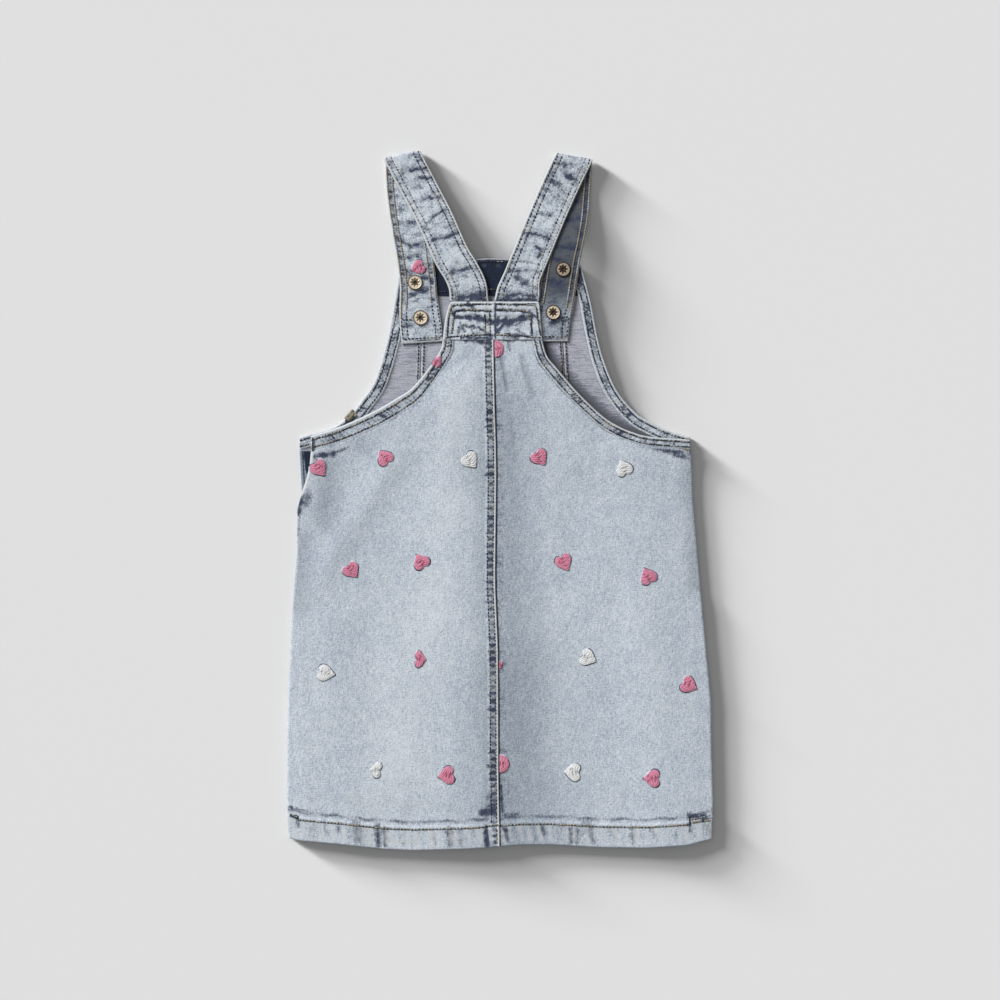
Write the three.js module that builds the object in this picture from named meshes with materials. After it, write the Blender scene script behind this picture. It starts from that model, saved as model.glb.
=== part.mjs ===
// Child's denim pinafore dress, laid flat on its front with the back up.
// Millimetres, +X to the dress's right as seen from above, +Y to the straps, +Z up from the table.
// All tables are in the drawing frame; the finished dress is shifted so that its box stands on the origin.
import * as THREE from 'three';

// Cloth and clearances
const CLOTH = 1.1;            // one denim layer
const HEM_WALL = 1.9;         // folded hem
const HEM_DEPTH = 17.5;         // height of the hem fold
const SEAM_WALL = 1.6;        // felled front seams
const LAP_WALL = 1.75;        // felled centre back seam
const LAP_WIDTH = 7.6;        // width of that fell
const BAND_WIDTH = 5.6;       // width of a front seam fell
const BINDING_WALL = 1.7;     // armhole bindings
const FACING_WALL = 0.8;      // bib facing
const PLACKET_WALL = 0.8;     // side opening placket
const STRAP_WALL = 1.7;       // double cloth of a strap
const STRAP_WIDTH = 27.4;
const YOKE_WALL = 2.4;        // yoke, outer and inner layer with the seam inside
const SEAM_GAP = 0.3;         // clearance between neighbouring pieces

// Heights above the table
const BIB_RISE = 2.3;         // the bib lies on its four button caps
const YOKE_FLOOR = 6.7;       // underside of the yoke, over the strap that passes below it
const PANEL_FLOOR = 6.9;      // underside of the back panels where they meet the yoke
const BACK_REST = 0.85;       // space between front and back inside the side seams
const EDGE_REST = 0.35;       // the same at the side seams
const STRAP_REST = 4.8;       // underside of a strap's front leg on the bib facing
const STRAP_END_REST = 4.1;   // the same at its end, past the facing
const FOLD_FLOOR = 3.0;       // underside of a strap's back leg next to the shoulder fold
const ROOT_FLOOR = 7.0;       // the same where it is sewn to the yoke
const SIDE_SINK = 0.45;       // share of the back's rise to the yoke that is lost towards the sides
const PLACKET_RISE = 0.9;     // extra rise of the back over the side placket
const BINDING_SINK = 0.15;    // how far the back bindings lie below the panels' underside

// Distances over which one height eases into another
const STEP_EASE = 0.3;        // at the edge of a fell
const HEM_STEP_EASE = 0.4;    // at the top of the hem fold
const HEM_EASE = 14;          // under the back, above the hem fold
const SIDE_EASE = 12;         // under the back, from a side seam inwards
const FOLD_INSET = 30;        // the folds, from a side seam inwards
const FOLD_TOP = 70;          // level above which the folds die out

// Levels along the length of the dress
const YOKE_TOP = 148.3;
const YOKE_BOTTOM = 119.8;
const PANEL_TOP = YOKE_BOTTOM - SEAM_GAP;
const FACING_BOTTOM = 152.8;
const STRAP_BEND = 142;       // below this the strap's front leg sinks towards its end
const STRAP_END = 117.5;

// Outer and inner edge of each armhole binding, from the top down to the side seam
const BACK_ARM_LEFT = [
  { outX: -43.1, outY: 119.5, inX: -34.8, inY: 119.5 },
  { outX: -44.6, outY: 112.6, inX: -36.4, inY: 109.8 },
  { outX: -51.6, outY: 101.1, inX: -44.6, inY: 95.6 },
  { outX: -65.4, outY: 84.3, inX: -59.2, inY: 75.4 },
  { outX: -78.2, outY: 75.6, inX: -72.6, inY: 65.5 },
  { outX: -93.9, outY: 66.6, inX: -88.8, inY: 55.9 },
  { outX: -119.4, outY: 55.0, inX: -115.3, inY: 44.3 },
  { outX: -141.9, outY: 47.6, inX: -141.9, inY: 36.4 },
];
const BACK_ARM_RIGHT = [
  { outX: 31.4, outY: 119.5, inX: 24.0, inY: 119.5 },
  { outX: 35.1, outY: 107.8, inX: 28.0, inY: 105.2 },
  { outX: 42.2, outY: 98.8, inX: 36.1, inY: 93.7 },
  { outX: 58.3, outY: 80.1, inX: 52.8, inY: 75.2 },
  { outX: 76.3, outY: 63.0, inX: 71.7, inY: 57.5 },
  { outX: 88.3, outY: 55.2, inX: 85.1, inY: 48.7 },
  { outX: 99.6, outY: 50.4, inX: 97.3, inY: 43.7 },
  { outX: 112.5, outY: 47.2, inX: 111.3, inY: 40.3 },
  { outX: 142.3, outY: 45.0, inX: 142.5, inY: 38.0 },
];
const FRONT_ARM_LEFT = [
  { outX: -75.6, outY: 175.0, inX: -66.2, inY: 176.0 },
  { outX: -79.3, outY: 149.8, inX: -69.9, inY: 148.6 },
  { outX: -84.9, outY: 119.8, inX: -75.8, inY: 117.4 },
  { outX: -93.9, outY: 89.8, inX: -85.6, inY: 85.4 },
  { outX: -103.7, outY: 74.8, inX: -96.5, inY: 68.8 },
  { outX: -112.7, outY: 63.8, inX: -106.8, inY: 56.5 },
  { outX: -126.2, outY: 54.0, inX: -122.4, inY: 45.5 },
  { outX: -150.5, outY: 47.1, inX: -150.5, inY: 37.8 },
];
const FRONT_ARM_RIGHT = [
  { outX: 60.6, outY: 175.6, inX: 51.4, inY: 176.8 },
  { outX: 67.7, outY: 149.1, inX: 58.9, inY: 151.2 },
  { outX: 73.3, outY: 120.6, inX: 64.4, inY: 122.8 },
  { outX: 79.3, outY: 100.3, inX: 70.6, inY: 98.4 },
  { outX: 88.3, outY: 80.8, inX: 80.6, inY: 76.4 },
  { outX: 101.8, outY: 65.1, inX: 96.0, inY: 58.3 },
  { outX: 113.8, outY: 57.6, inX: 110.0, inY: 49.7 },
  { outX: 127.3, outY: 51.6, inX: 124.6, inY: 43.4 },
  { outX: 142.3, outY: 47.0, inX: 142.5, inY: 38.0 },
];

// Side seams and centre lines, as the x of the line at each height y
const LEFT_SIDE = [
  { y: 60, x: -141.9 },
  { y: 36, x: -141.9 },
  { y: 26, x: -142.8 },
  { y: 17, x: -144.9 },
  { y: 5, x: -148.7 },
  { y: -7, x: -152.1 },
  { y: -41, x: -152.4 },
  { y: -75, x: -155.4 },
  { y: -120, x: -157.7 },
  { y: -173, x: -159.6 },
  { y: -239, x: -159.6 },
  { y: -264, x: -158.2 },
];
const FRONT_LEFT_SIDE = [
  { y: 60, x: -150.5 },
  { y: 34, x: -150.5 },
  { y: 12, x: -149.2 },
  { y: 5, x: -148.9 },
  { y: -7, x: -152.1 },
  { y: -41, x: -152.4 },
  { y: -75, x: -155.4 },
  { y: -120, x: -157.7 },
  { y: -173, x: -159.6 },
  { y: -239, x: -159.6 },
  { y: -264, x: -158.2 },
];
const RIGHT_SIDE = [
  { y: 60, x: 141.9 },
  { y: 38, x: 142.5 },
  { y: 24, x: 143.8 },
  { y: 1, x: 144.4 },
  { y: -45, x: 148.3 },
  { y: -113, x: 154.3 },
  { y: -150, x: 158.1 },
  { y: -186, x: 158.4 },
  { y: -233, x: 159.6 },
  { y: -264, x: 158.4 },
];
const CENTRE_SEAM = [
  { y: 150, x: -5.2 },
  { y: 110, x: -4.8 },
  { y: 67, x: -3.9 },
  { y: 43, x: -3.1 },
  { y: 20, x: -2.8 },
  { y: -5, x: -3.0 },
  { y: -53, x: -3.6 },
  { y: -65, x: -3.5 },
  { y: -113, x: -1.5 },
  { y: -200, x: -1.2 },
  { y: -264, x: -0.2 },
];
const FRONT_SEAM_LEFT = [
  { y: 190, x: -57.0 },
  { y: 107, x: -59.4 },
  { y: -264, x: -72.0 },
];
const FRONT_SEAM_RIGHT = [
  { y: 190, x: 42.5 },
  { y: 107, x: 47.6 },
  { y: -264, x: 66.0 },
];
const HEM_LINE = [
  { x: -160, y: -253.2 },
  { x: -148.7, y: -255.5 },
  { x: -118.7, y: -258.2 },
  { x: -86.4, y: -261.7 },
  { x: -65.1, y: -262.6 },
  { x: -23.4, y: -261.4 },
  { x: 14.8, y: -258.5 },
  { x: 38.8, y: -258.4 },
  { x: 74.8, y: -260.4 },
  { x: 110.0, y: -260.8 },
  { x: 140.0, y: -258.8 },
  { x: 160, y: -253.8 },
];
const BIB_TOP = [
  { x: -76, y: 175.0 },
  { x: -66, y: 176.2 },
  { x: -40, y: 179.3 },
  { x: -8, y: 180.8 },
  { x: 25, y: 179.5 },
  { x: 51, y: 177.0 },
  { x: 61, y: 175.6 },
];

// Large soft folds of the back: a crest from one point to another, with its half width and height
const FOLDS = [
  { fromX: -14, fromY: 95, toX: -22, toY: -262, half: 34, rise: 1.9 },
  { fromX: 96, fromY: 30, toX: 128, toY: -262, half: 26, rise: 1.5 },
  { fromX: -82, fromY: 26, toX: -146, toY: -72, half: 11, rise: 1.3 },
  { fromX: -128, fromY: -96, toX: -112, toY: -262, half: 17, rise: 0.9 },
  { fromX: 54, fromY: 66, toX: 74, toY: -60, half: 15, rise: 0.6 },
];
const FOLD_FADE = 26;         // how far a crest takes to die out past its ends

// Straps: centre line, with the slant of the section in degrees, anticlockwise from +X
const STRAP_LEFT = {
  front: [
    { x: -72.8, y: 256.8, slant: 10.5 },
    { x: -72.0, y: 236.0, slant: -3 },
    { x: -69.6, y: 216.0, slant: -6 },
    { x: -67.0, y: 200.0, slant: -8 },
    { x: -63.8, y: 181.5, slant: -9 },
    { x: -61.6, y: 163.0, slant: -6 },
    { x: -60.3, y: 139.5, slant: 0 },
    { x: -58.1, y: 117.5, slant: 4 },
  ],
  back: [
    { x: -73.2, y: 257.2, slant: 10.5 },
    { x: -61.6, y: 235.0, slant: 26 },
    { x: -48.8, y: 210.2, slant: 27 },
    { x: -37.2, y: 184.2, slant: 24 },
    { x: -29.4, y: 171.0, slant: 24 },
    { x: -24.6, y: 160.4, slant: 14 },
    { x: -23.2, y: 148.6, slant: 0 },
  ],
  endWidth: 31.2,
  rootWidth: 28.8,
};
const STRAP_RIGHT = {
  front: [
    { x: 55.3, y: 255.2, slant: -9.7 },
    { x: 54.6, y: 236.0, slant: 2 },
    { x: 52.8, y: 214.0, slant: 5 },
    { x: 49.8, y: 196.5, slant: 9 },
    { x: 46.0, y: 178.0, slant: 9 },
    { x: 41.2, y: 148.0, slant: 9 },
    { x: 38.2, y: 135.0, slant: 5 },
    { x: 36.4, y: 118.5, slant: 0 },
  ],
  back: [
    { x: 54.8, y: 255.6, slant: -9.7 },
    { x: 46.4, y: 238.0, slant: -25 },
    { x: 36.2, y: 215.0, slant: -24 },
    { x: 24.0, y: 185.4, slant: -23 },
    { x: 17.6, y: 170.0, slant: -21 },
    { x: 14.2, y: 158.6, slant: -10 },
    { x: 12.1, y: 148.6, slant: 0 },
  ],
  endWidth: 28.4,
  rootWidth: 32.6,
};
const FOLD_STEPS = 6;         // stations round the shoulder fold
const LEG_STEPS = 15;         // stations along one leg
const FLARE_START = 2;        // rows of the centre line from a leg's end at which it starts to widen
const FLARE_END = 0.5;        // the same at which it has its end width

// Buttons on the bib and the tack backs inside the straps, two on each strap
const TACKS = [
  { name: 'left_upper', x: -63.8, y: 162.7 },
  { name: 'left_lower', x: -59.7, y: 136.3 },
  { name: 'right_upper', x: 47.0, y: 172.5 },
  { name: 'right_lower', x: 39.6, y: 140.3 },
];
const BUTTON_RADIUS = 8.5;
const BUTTON_HEIGHT = 2.0;
const TACK_RADIUS = 5.6;
const TACK_HEIGHT = 1.3;
const TACK_HOLE = 1.3;
const ROUND_SIDES = 20;

// Embroidered hearts: centre, size across and along, direction of the tip in degrees from +X
const HEARTS = [
  { x: -135.6, y: 23.4, wide: 12.8, long: 13.4, tip: -53, pink: 1 },
  { x: -86.6, y: 31.7, wide: 12.2, long: 12.4, tip: 128, pink: 1 },
  { x: -22.6, y: 29.3, wide: 12.8, long: 13.2, tip: -51, pink: 0 },
  { x: 29.6, y: 31.4, wide: 12.6, long: 13.0, tip: -54, pink: 1 },
  { x: 92.6, y: 23.6, wide: 12.4, long: 12.4, tip: 113, pink: 0 },
  { x: -46.9, y: 103.6, wide: 6.0, long: 10.4, tip: 62, pink: 1 },
  { x: -61.7, y: 173.8, wide: 10.6, long: 11.2, tip: 201, pink: 1 },
  { x: -111.2, y: -53.0, wide: 12.6, long: 12.6, tip: -53, pink: 1 },
  { x: -59.4, y: -46.2, wide: 12.4, long: 12.2, tip: 123, pink: 1 },
  { x: 47.8, y: -47.0, wide: 12.4, long: 13.4, tip: -63, pink: 1 },
  { x: 110.6, y: -57.2, wide: 12.6, long: 12.8, tip: 116, pink: 1 },
  { x: -130.5, y: -129.8, wide: 12.2, long: 13.6, tip: -10, pink: 0 },
  { x: -59.9, y: -119.4, wide: 12.6, long: 8.6, tip: 0, pink: 1 },
  { x: 65.9, y: -118.6, wide: 12.6, long: 12.4, tip: -24, pink: 0 },
  { x: 141.3, y: -138.8, wide: 12.6, long: 12.8, tip: -26, pink: 1 },
  { x: -93.0, y: -202.2, wide: 12.2, long: 8.6, tip: 169, pink: 0 },
  { x: -40.2, y: -206.4, wide: 13.4, long: 13.0, tip: 189, pink: 1 },
  { x: 54.4, y: -204.2, wide: 13.2, long: 12.6, tip: 178, pink: 0 },
  { x: 113.6, y: -208.6, wide: 13.2, long: 12.6, tip: 180, pink: 1 },
];
// Hearts that the lap of the centre seam partly covers: only what shows beside it is built
const LAPPED_HEARTS = [
  { y: 113.0, wide: 6.2, long: 12.5 },
  { y: -197.8, wide: 6.8, long: 13.2 },
  { y: -123.5, wide: 2.4, long: 5.5 },
];
const HEART_HEIGHT = 1.0;
const HEART_SIDES = 20;
const HEART_ROUNDNESS = 0.35; // 0 for a drawn heart, 1 for an oval: the thread fills its corners

// Curves and ramps
function smooth(from, to, value) {
  const t = Math.min(1, Math.max(0, (value - from) / (to - from)));
  return t * t * (3 - 2 * t);
}

function column(table, key) {
  return table.map((row) => row[key]);
}

// Value of a Catmull-Rom curve through one column of a table, at row number s
function along(values, s) {
  const last = values.length - 1;
  const i = Math.min(last - 1, Math.max(0, Math.floor(s)));
  const t = s - i;
  const b = values[i];
  const c = values[i + 1];
  const a = i > 0 ? values[i - 1] : 2 * b - c;
  const d = i < last - 1 ? values[i + 2] : 2 * c - b;
  const slope = (c - a) / 2;
  const curve = a - 2.5 * b + 2 * c - 0.5 * d;
  const twist = -0.5 * a + 1.5 * b - 1.5 * c + 0.5 * d;
  return b + t * (slope + t * (curve + t * twist));
}

// Straight-line look-up in a table whose key column rises or falls steadily
function lookUp(table, key, value, result) {
  const rising = table[table.length - 1][key] > table[0][key];
  const rows = rising ? table : [...table].reverse();
  if (value <= rows[0][key]) {
    return rows[0][result];
  }
  for (let i = 1; i < rows.length; i += 1) {
    if (value <= rows[i][key]) {
      const t = (value - rows[i - 1][key]) / (rows[i][key] - rows[i - 1][key]);
      return rows[i - 1][result] * (1 - t) + rows[i][result] * t;
    }
  }
  return rows[rows.length - 1][result];
}

const hemAt = (x) => lookUp(HEM_LINE, 'x', x, 'y');
const seamAt = (y) => lookUp(CENTRE_SEAM, 'y', y, 'x');
const leftSideAt = (y) => lookUp(LEFT_SIDE, 'y', y, 'x');
const rightSideAt = (y) => lookUp(RIGHT_SIDE, 'y', y, 'x');

// Stations of a binding: the outer and inner edge point at each step along the armhole
function bindingStations(table, steps) {
  const outX = column(table, 'outX');
  const outY = column(table, 'outY');
  const inX = column(table, 'inX');
  const inY = column(table, 'inY');
  return Array.from({ length: steps + 1 }, (_, k) => {
    const s = (k / steps) * (table.length - 1);
    return { outX: along(outX, s), outY: along(outY, s), inX: along(inX, s), inY: along(inY, s) };
  });
}

const ARM_STEPS = 18;
const ARMS = {
  backLeft: bindingStations(BACK_ARM_LEFT, ARM_STEPS),
  backRight: bindingStations(BACK_ARM_RIGHT, ARM_STEPS),
  frontLeft: bindingStations(FRONT_ARM_LEFT, ARM_STEPS),
  frontRight: bindingStations(FRONT_ARM_RIGHT, ARM_STEPS),
};

// Edge of the panel beside a binding: its inner edge moved away by the seam clearance
function panelEdge(stations) {
  return stations.map((p, k) => {
    const before = stations[Math.max(0, k - 1)];
    const after = stations[Math.min(stations.length - 1, k + 1)];
    const across = new THREE.Vector2(p.inX - p.outX, p.inY - p.outY);
    const run = new THREE.Vector2(after.inX - before.inX, after.inY - before.inY).normalize();
    const normal = new THREE.Vector2(-run.y, run.x);
    if (normal.dot(across) < 0) {
      normal.negate();
    }
    return { x: p.inX + normal.x * SEAM_GAP, y: p.inY + normal.y * SEAM_GAP };
  });
}

// Heights of the cloth
function frontFloor(x, y) {
  return BIB_RISE * smooth(55, 105, y);
}

function nearLine(table, x, y, width) {
  const d = Math.abs(x - lookUp(table, 'y', y, 'x'));
  return 1 - smooth(width / 2 - STEP_EASE, width / 2 + STEP_EASE, d);
}

function hemShare(x, y) {
  return 1 - smooth(HEM_DEPTH - HEM_STEP_EASE, HEM_DEPTH + HEM_STEP_EASE, y - hemAt(x));
}

function frontWall(x, y) {
  const band = Math.max(
    nearLine(FRONT_SEAM_LEFT, x, y, BAND_WIDTH),
    nearLine(FRONT_SEAM_RIGHT, x, y, BAND_WIDTH),
  );
  const raised = band * (1 - smooth(FACING_BOTTOM - 14, FACING_BOTTOM - 2, y));
  return CLOTH + (SEAM_WALL - CLOTH) * raised + (HEM_WALL - CLOTH) * hemShare(x, y);
}

function foldHeight(x, y) {
  return FOLDS.reduce((sum, fold) => {
    const dx = fold.toX - fold.fromX;
    const dy = fold.toY - fold.fromY;
    const length = Math.hypot(dx, dy);
    const run = ((x - fold.fromX) * dx + (y - fold.fromY) * dy) / length;
    const off = ((x - fold.fromX) * dy - (y - fold.fromY) * dx) / length;
    const fade = smooth(-FOLD_FADE, 0, run) * (1 - smooth(length, length + FOLD_FADE, run));
    return sum + fold.rise * fade * Math.exp(-((off / fold.half) ** 2));
  }, 0);
}

// Underside of the back, over the front, the side placket and the bib
function backFloor(x, y) {
  const inset = Math.min(x - leftSideAt(y), rightSideAt(y) - x);
  const inner = smooth(0, FOLD_INSET, inset);
  const hem = (HEM_WALL - CLOTH) * (1 - smooth(HEM_DEPTH, HEM_DEPTH + HEM_EASE, y - hemAt(x)));
  const rest = CLOTH + EDGE_REST + (BACK_REST - EDGE_REST) * smooth(0, SIDE_EASE, inset) + hem;
  const lift = smooth(0, PANEL_TOP, y) * (1 - SIDE_SINK * smooth(60, 140, Math.abs(x + 6)));
  const placket = PLACKET_RISE * smooth(-124, -136, x) * smooth(-16, 2, y) * (1 - smooth(50, 70, y));
  const fold = foldHeight(x, y) * inner * (1 - smooth(FOLD_TOP, PANEL_TOP, y));
  return rest + fold + placket + lift * (PANEL_FLOOR - CLOTH - BACK_REST);
}

function lapShare(x, y) {
  const d = seamAt(y) - x;
  return d < -0.1 ? 0 : 1 - smooth(LAP_WIDTH - STEP_EASE, LAP_WIDTH + STEP_EASE, d);
}

function backWall(x, y) {
  return CLOTH + (LAP_WALL - CLOTH) * lapShare(x, y) + (HEM_WALL - CLOTH) * hemShare(x, y);
}

const backTop = (x, y) => backFloor(x, y) + backWall(x, y);

function strapFloor(y) {
  const rise = STRAP_REST * (1 - smooth(181, 235, y));
  return rise - (STRAP_REST - STRAP_END_REST) * (1 - smooth(STRAP_END, STRAP_BEND, y));
}

function strapBackFloor(y) {
  return FOLD_FLOOR + (ROOT_FLOOR - FOLD_FLOOR) * (1 - smooth(180, 242, y));
}

// Closed solid from rows of points, each point with its top and bottom height
function slab(rows) {
  const positions = [];
  const width = rows[0].length;
  const index = (r, c, bottom) => (r * width + c) * 2 + (bottom ? 1 : 0);
  rows.forEach((row) => row.forEach((p) => {
    positions.push(p.x, p.y, p.top, p.x, p.y, p.bottom);
  }));
  const faces = [];
  const quad = (a, b, c, d) => faces.push(a, b, c, a, c, d);
  for (let r = 0; r < rows.length - 1; r += 1) {
    for (let c = 0; c < width - 1; c += 1) {
      quad(index(r, c), index(r, c + 1), index(r + 1, c + 1), index(r + 1, c));
      quad(index(r, c, 1), index(r + 1, c, 1), index(r + 1, c + 1, 1), index(r, c + 1, 1));
    }
    quad(index(r, 0), index(r + 1, 0), index(r + 1, 0, 1), index(r, 0, 1));
    const e = width - 1;
    quad(index(r + 1, e), index(r, e), index(r, e, 1), index(r + 1, e, 1));
  }
  for (let c = 0; c < width - 1; c += 1) {
    const e = rows.length - 1;
    quad(index(0, c + 1), index(0, c), index(0, c, 1), index(0, c + 1, 1));
    quad(index(e, c), index(e, c + 1), index(e, c + 1, 1), index(e, c, 1));
  }
  return closedGeometry(positions, faces);
}

// Closed solid from rings of points, one ring a station, with flat ends
function loft(rings) {
  const count = rings[0].length;
  const positions = rings.flat().flatMap((p) => [p.x, p.y, p.z]);
  const faces = [];
  for (let r = 0; r < rings.length - 1; r += 1) {
    for (let i = 0; i < count; i += 1) {
      const j = (i + 1) % count;
      const a = r * count;
      const b = a + count;
      faces.push(a + i, a + j, b + j, a + i, b + j, b + i);
    }
  }
  const end = (rings.length - 1) * count;
  for (let i = 1; i < count - 1; i += 1) {
    faces.push(0, i + 1, i);
    faces.push(end, end + i, end + i + 1);
  }
  return closedGeometry(positions, faces);
}

function signedVolume(positions, faces) {
  let sum = 0;
  const corner = (n) => new THREE.Vector3().fromArray(positions, n * 3);
  for (let i = 0; i < faces.length; i += 3) {
    sum += corner(faces[i]).dot(corner(faces[i + 1]).cross(corner(faces[i + 2])));
  }
  return sum;
}

function closedGeometry(positions, faces) {
  const outward = signedVolume(positions, faces) > 0;
  const ordered = outward ? faces : [...faces].reverse();
  const geometry = new THREE.BufferGeometry();
  geometry.setAttribute('position', new THREE.Float32BufferAttribute(positions, 3));
  geometry.setIndex(ordered);
  geometry.computeVertexNormals();
  return geometry;
}

// Rows of a panel from the hem up: level y, drawn between a left and a right edge
function panelRows(levels, left, right, shares, height) {
  return levels.map(({ y, drop }) => {
    const from = left(y);
    const to = right(y);
    return shares(from, to, y).map((x) => {
      const level = drop ? y + drop * (hemAt(x) - hemAt(0)) : y;
      return { x, y: level, ...height(x, level) };
    });
  });
}

// Levels of the skirt: the hem fold, its step, then even rows that fade from the hem's line to level
function skirtLevels(top, count) {
  const base = hemAt(0);
  const heights = [0, HEM_DEPTH * 0.5, HEM_DEPTH - HEM_STEP_EASE, HEM_DEPTH + HEM_STEP_EASE];
  const low = heights.map((d) => ({ y: base + d, drop: 1 }));
  const start = base + HEM_DEPTH + HEM_EASE;
  const even = Array.from({ length: count }, (_, k) => {
    const y = start + ((top - start) * k) / count;
    return { y, drop: 1 - smooth(start, start + 50, y) };
  });
  return [...low, ...even];
}

const spread = (count) => (from, to) => Array.from({ length: count + 1 }, (_, i) => (
  from + ((to - from) * i) / count
));

// Look-up of a panel edge by its height, above the side seam along the armhole
function edgeBy(edge, side) {
  const foot = edge[edge.length - 1];
  return (y) => (y > foot.y ? lookUp(edge, 'y', y, 'x') : lookUp(side, 'y', y, 'x'));
}

const FOOT_DROP = 4;          // the even rows of a skirt end this far below the foot of its armhole

function footOf(edge) {
  return edge[edge.length - 1].y;
}

function armLevels(edge, top) {
  return edge.map((p) => ({ y: p.y })).reverse().filter((p) => p.y < top - 0.4);
}

// Materials
const cloth = (color) => new THREE.MeshStandardMaterial({ color, roughness: 0.92, metalness: 0 });
const DENIM = '#bec8d4';
const MATERIALS = {
  denim: () => cloth(DENIM),
  binding: () => cloth('#b4bfcc'),
  inside: () => cloth('#bcc1cd'),
  facing: () => cloth('#444c63'),
  pink: () => cloth('#c9779a'),
  white: () => cloth('#e0e1de'),
  metal: () => new THREE.MeshStandardMaterial({ color: '#cda27e', roughness: 0.35, metalness: 0.9 }),
};

const dress = new THREE.Group();

function add(name, geometry, material) {
  const mesh = new THREE.Mesh(geometry, MATERIALS[material]());
  mesh.name = name;
  dress.add(mesh);
  return mesh;
}

// Back panels, the left one lapped over the right in a felled centre seam
const BACK_HEIGHT = (x, y) => ({ top: backTop(x, y), bottom: backFloor(x, y) });

function backPanels() {
  const leftEdge = panelEdge(ARMS.backLeft);
  const rightEdge = panelEdge(ARMS.backRight);
  const lap = (from, to) => {
    const inner = to - LAP_WIDTH;
    const main = spread(9)(from, inner - STEP_EASE);
    return [...main, inner + STEP_EASE, to - LAP_WIDTH / 2, to];
  };
  const levels = (edge) => [
    ...skirtLevels(footOf(edge) - FOOT_DROP, 15),
    ...armLevels(edge, PANEL_TOP),
    { y: PANEL_TOP },
  ];
  const left = panelRows(levels(leftEdge), edgeBy(leftEdge, LEFT_SIDE), seamAt, lap, BACK_HEIGHT);
  add('back_left', slab(left), 'denim');
  const fromSeam = (y) => seamAt(y) + SEAM_GAP;
  const rightSide = edgeBy(rightEdge, RIGHT_SIDE);
  const right = panelRows(levels(rightEdge), fromSeam, rightSide, spread(11), BACK_HEIGHT);
  add('back_right', slab(right), 'denim');
}

// Binding strip with a rounded outer edge
function bindingRings(stations, floor, wall) {
  const SECTION = [
    { share: 1, height: 0 }, { share: 0.08, height: 0 }, { share: 0, height: 0.35 },
    { share: 0, height: 0.7 }, { share: 0.1, height: 1 }, { share: 1, height: 1 },
  ];
  return stations.map((p) => SECTION.map(({ share, height }) => {
    const x = p.outX + (p.inX - p.outX) * share;
    const y = p.outY + (p.inY - p.outY) * share;
    return { x, y, z: floor(x, y) + wall * height };
  }));
}

function bindings() {
  const backEdge = (x, y) => backFloor(x, Math.min(y, PANEL_TOP)) - BINDING_SINK;
  add('back_binding_left', loft(bindingRings(ARMS.backLeft, backEdge, BINDING_WALL)), 'binding');
  add('back_binding_right', loft(bindingRings(ARMS.backRight, backEdge, BINDING_WALL)), 'binding');
  add('front_binding_left', loft(bindingRings(ARMS.frontLeft, frontFloor, BINDING_WALL)), 'binding');
  add('front_binding_right', loft(bindingRings(ARMS.frontRight, frontFloor, BINDING_WALL)), 'binding');
}

// Yoke across the back, with slightly hollow ends
function yoke() {
  const EDGES = [
    { y: YOKE_BOTTOM, left: -43.0, right: 31.5 },
    { y: 128, left: -42.2, right: 30.8 },
    { y: 138, left: -40.6, right: 30.2 },
    { y: YOKE_TOP, left: -37.3, right: 29.0 },
  ];
  const rows = EDGES.map((row) => spread(8)(row.left, row.right).map((x) => (
    { x, y: row.y, top: YOKE_FLOOR + YOKE_WALL, bottom: YOKE_FLOOR }
  )));
  add('back_yoke', slab(rows), 'denim');
}

// Front: a centre and two sides, joined by felled seams, and the facing inside the bib
const FRONT_HEIGHT = (x, y) => ({ top: frontFloor(x, y) + frontWall(x, y), bottom: frontFloor(x, y) });

function frontPanels() {
  const leftEdge = panelEdge(ARMS.frontLeft);
  const rightEdge = panelEdge(ARMS.frontRight);
  const leftSeam = (y) => lookUp(FRONT_SEAM_LEFT, 'y', y, 'x');
  const rightSeam = (y) => lookUp(FRONT_SEAM_RIGHT, 'y', y, 'x');
  const half = BAND_WIDTH / 2;
  const bibLevels = [55, 68, 80, 92, 105, 138, 151].map((y) => ({ y }));
  const inset = 8;
  const centreShares = (from, to) => [from, from + half - STEP_EASE, from + half + STEP_EASE,
    ...spread(4)(from + half + inset, to - half - inset), to - half - STEP_EASE, to - half + STEP_EASE, to];
  const centre = panelRows(
    [...skirtLevels(48, 5), ...bibLevels, { y: 176 }],
    (y) => leftSeam(y) + SEAM_GAP / 2,
    (y) => rightSeam(y) - SEAM_GAP / 2,
    centreShares,
    FRONT_HEIGHT,
  );
  const top = centre.length - 1;
  centre[top] = centre[top].map((p) => ({ ...p, y: lookUp(BIB_TOP, 'x', p.x, 'y') }));
  add('front_centre', slab(centre), 'inside');
  const levels = (edge) => [...skirtLevels(footOf(edge) - FOOT_DROP, 8), ...armLevels(edge, Infinity)];
  const leftShares = (from, to) => [...spread(5)(from, to - half - STEP_EASE), to - half + STEP_EASE, to];
  const left = panelRows(
    levels(leftEdge),
    edgeBy(leftEdge, FRONT_LEFT_SIDE),
    (y) => leftSeam(y) - SEAM_GAP / 2,
    leftShares,
    FRONT_HEIGHT,
  );
  add('front_side_left', slab(left), 'inside');
  const rightShares = (from, to) => [
    from,
    from + half - STEP_EASE,
    ...spread(5)(from + half + STEP_EASE, to),
  ];
  const right = panelRows(
    levels(rightEdge),
    (y) => rightSeam(y) + SEAM_GAP / 2,
    edgeBy(rightEdge, RIGHT_SIDE),
    rightShares,
    FRONT_HEIGHT,
  );
  add('front_side_right', slab(right), 'inside');
}

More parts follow.
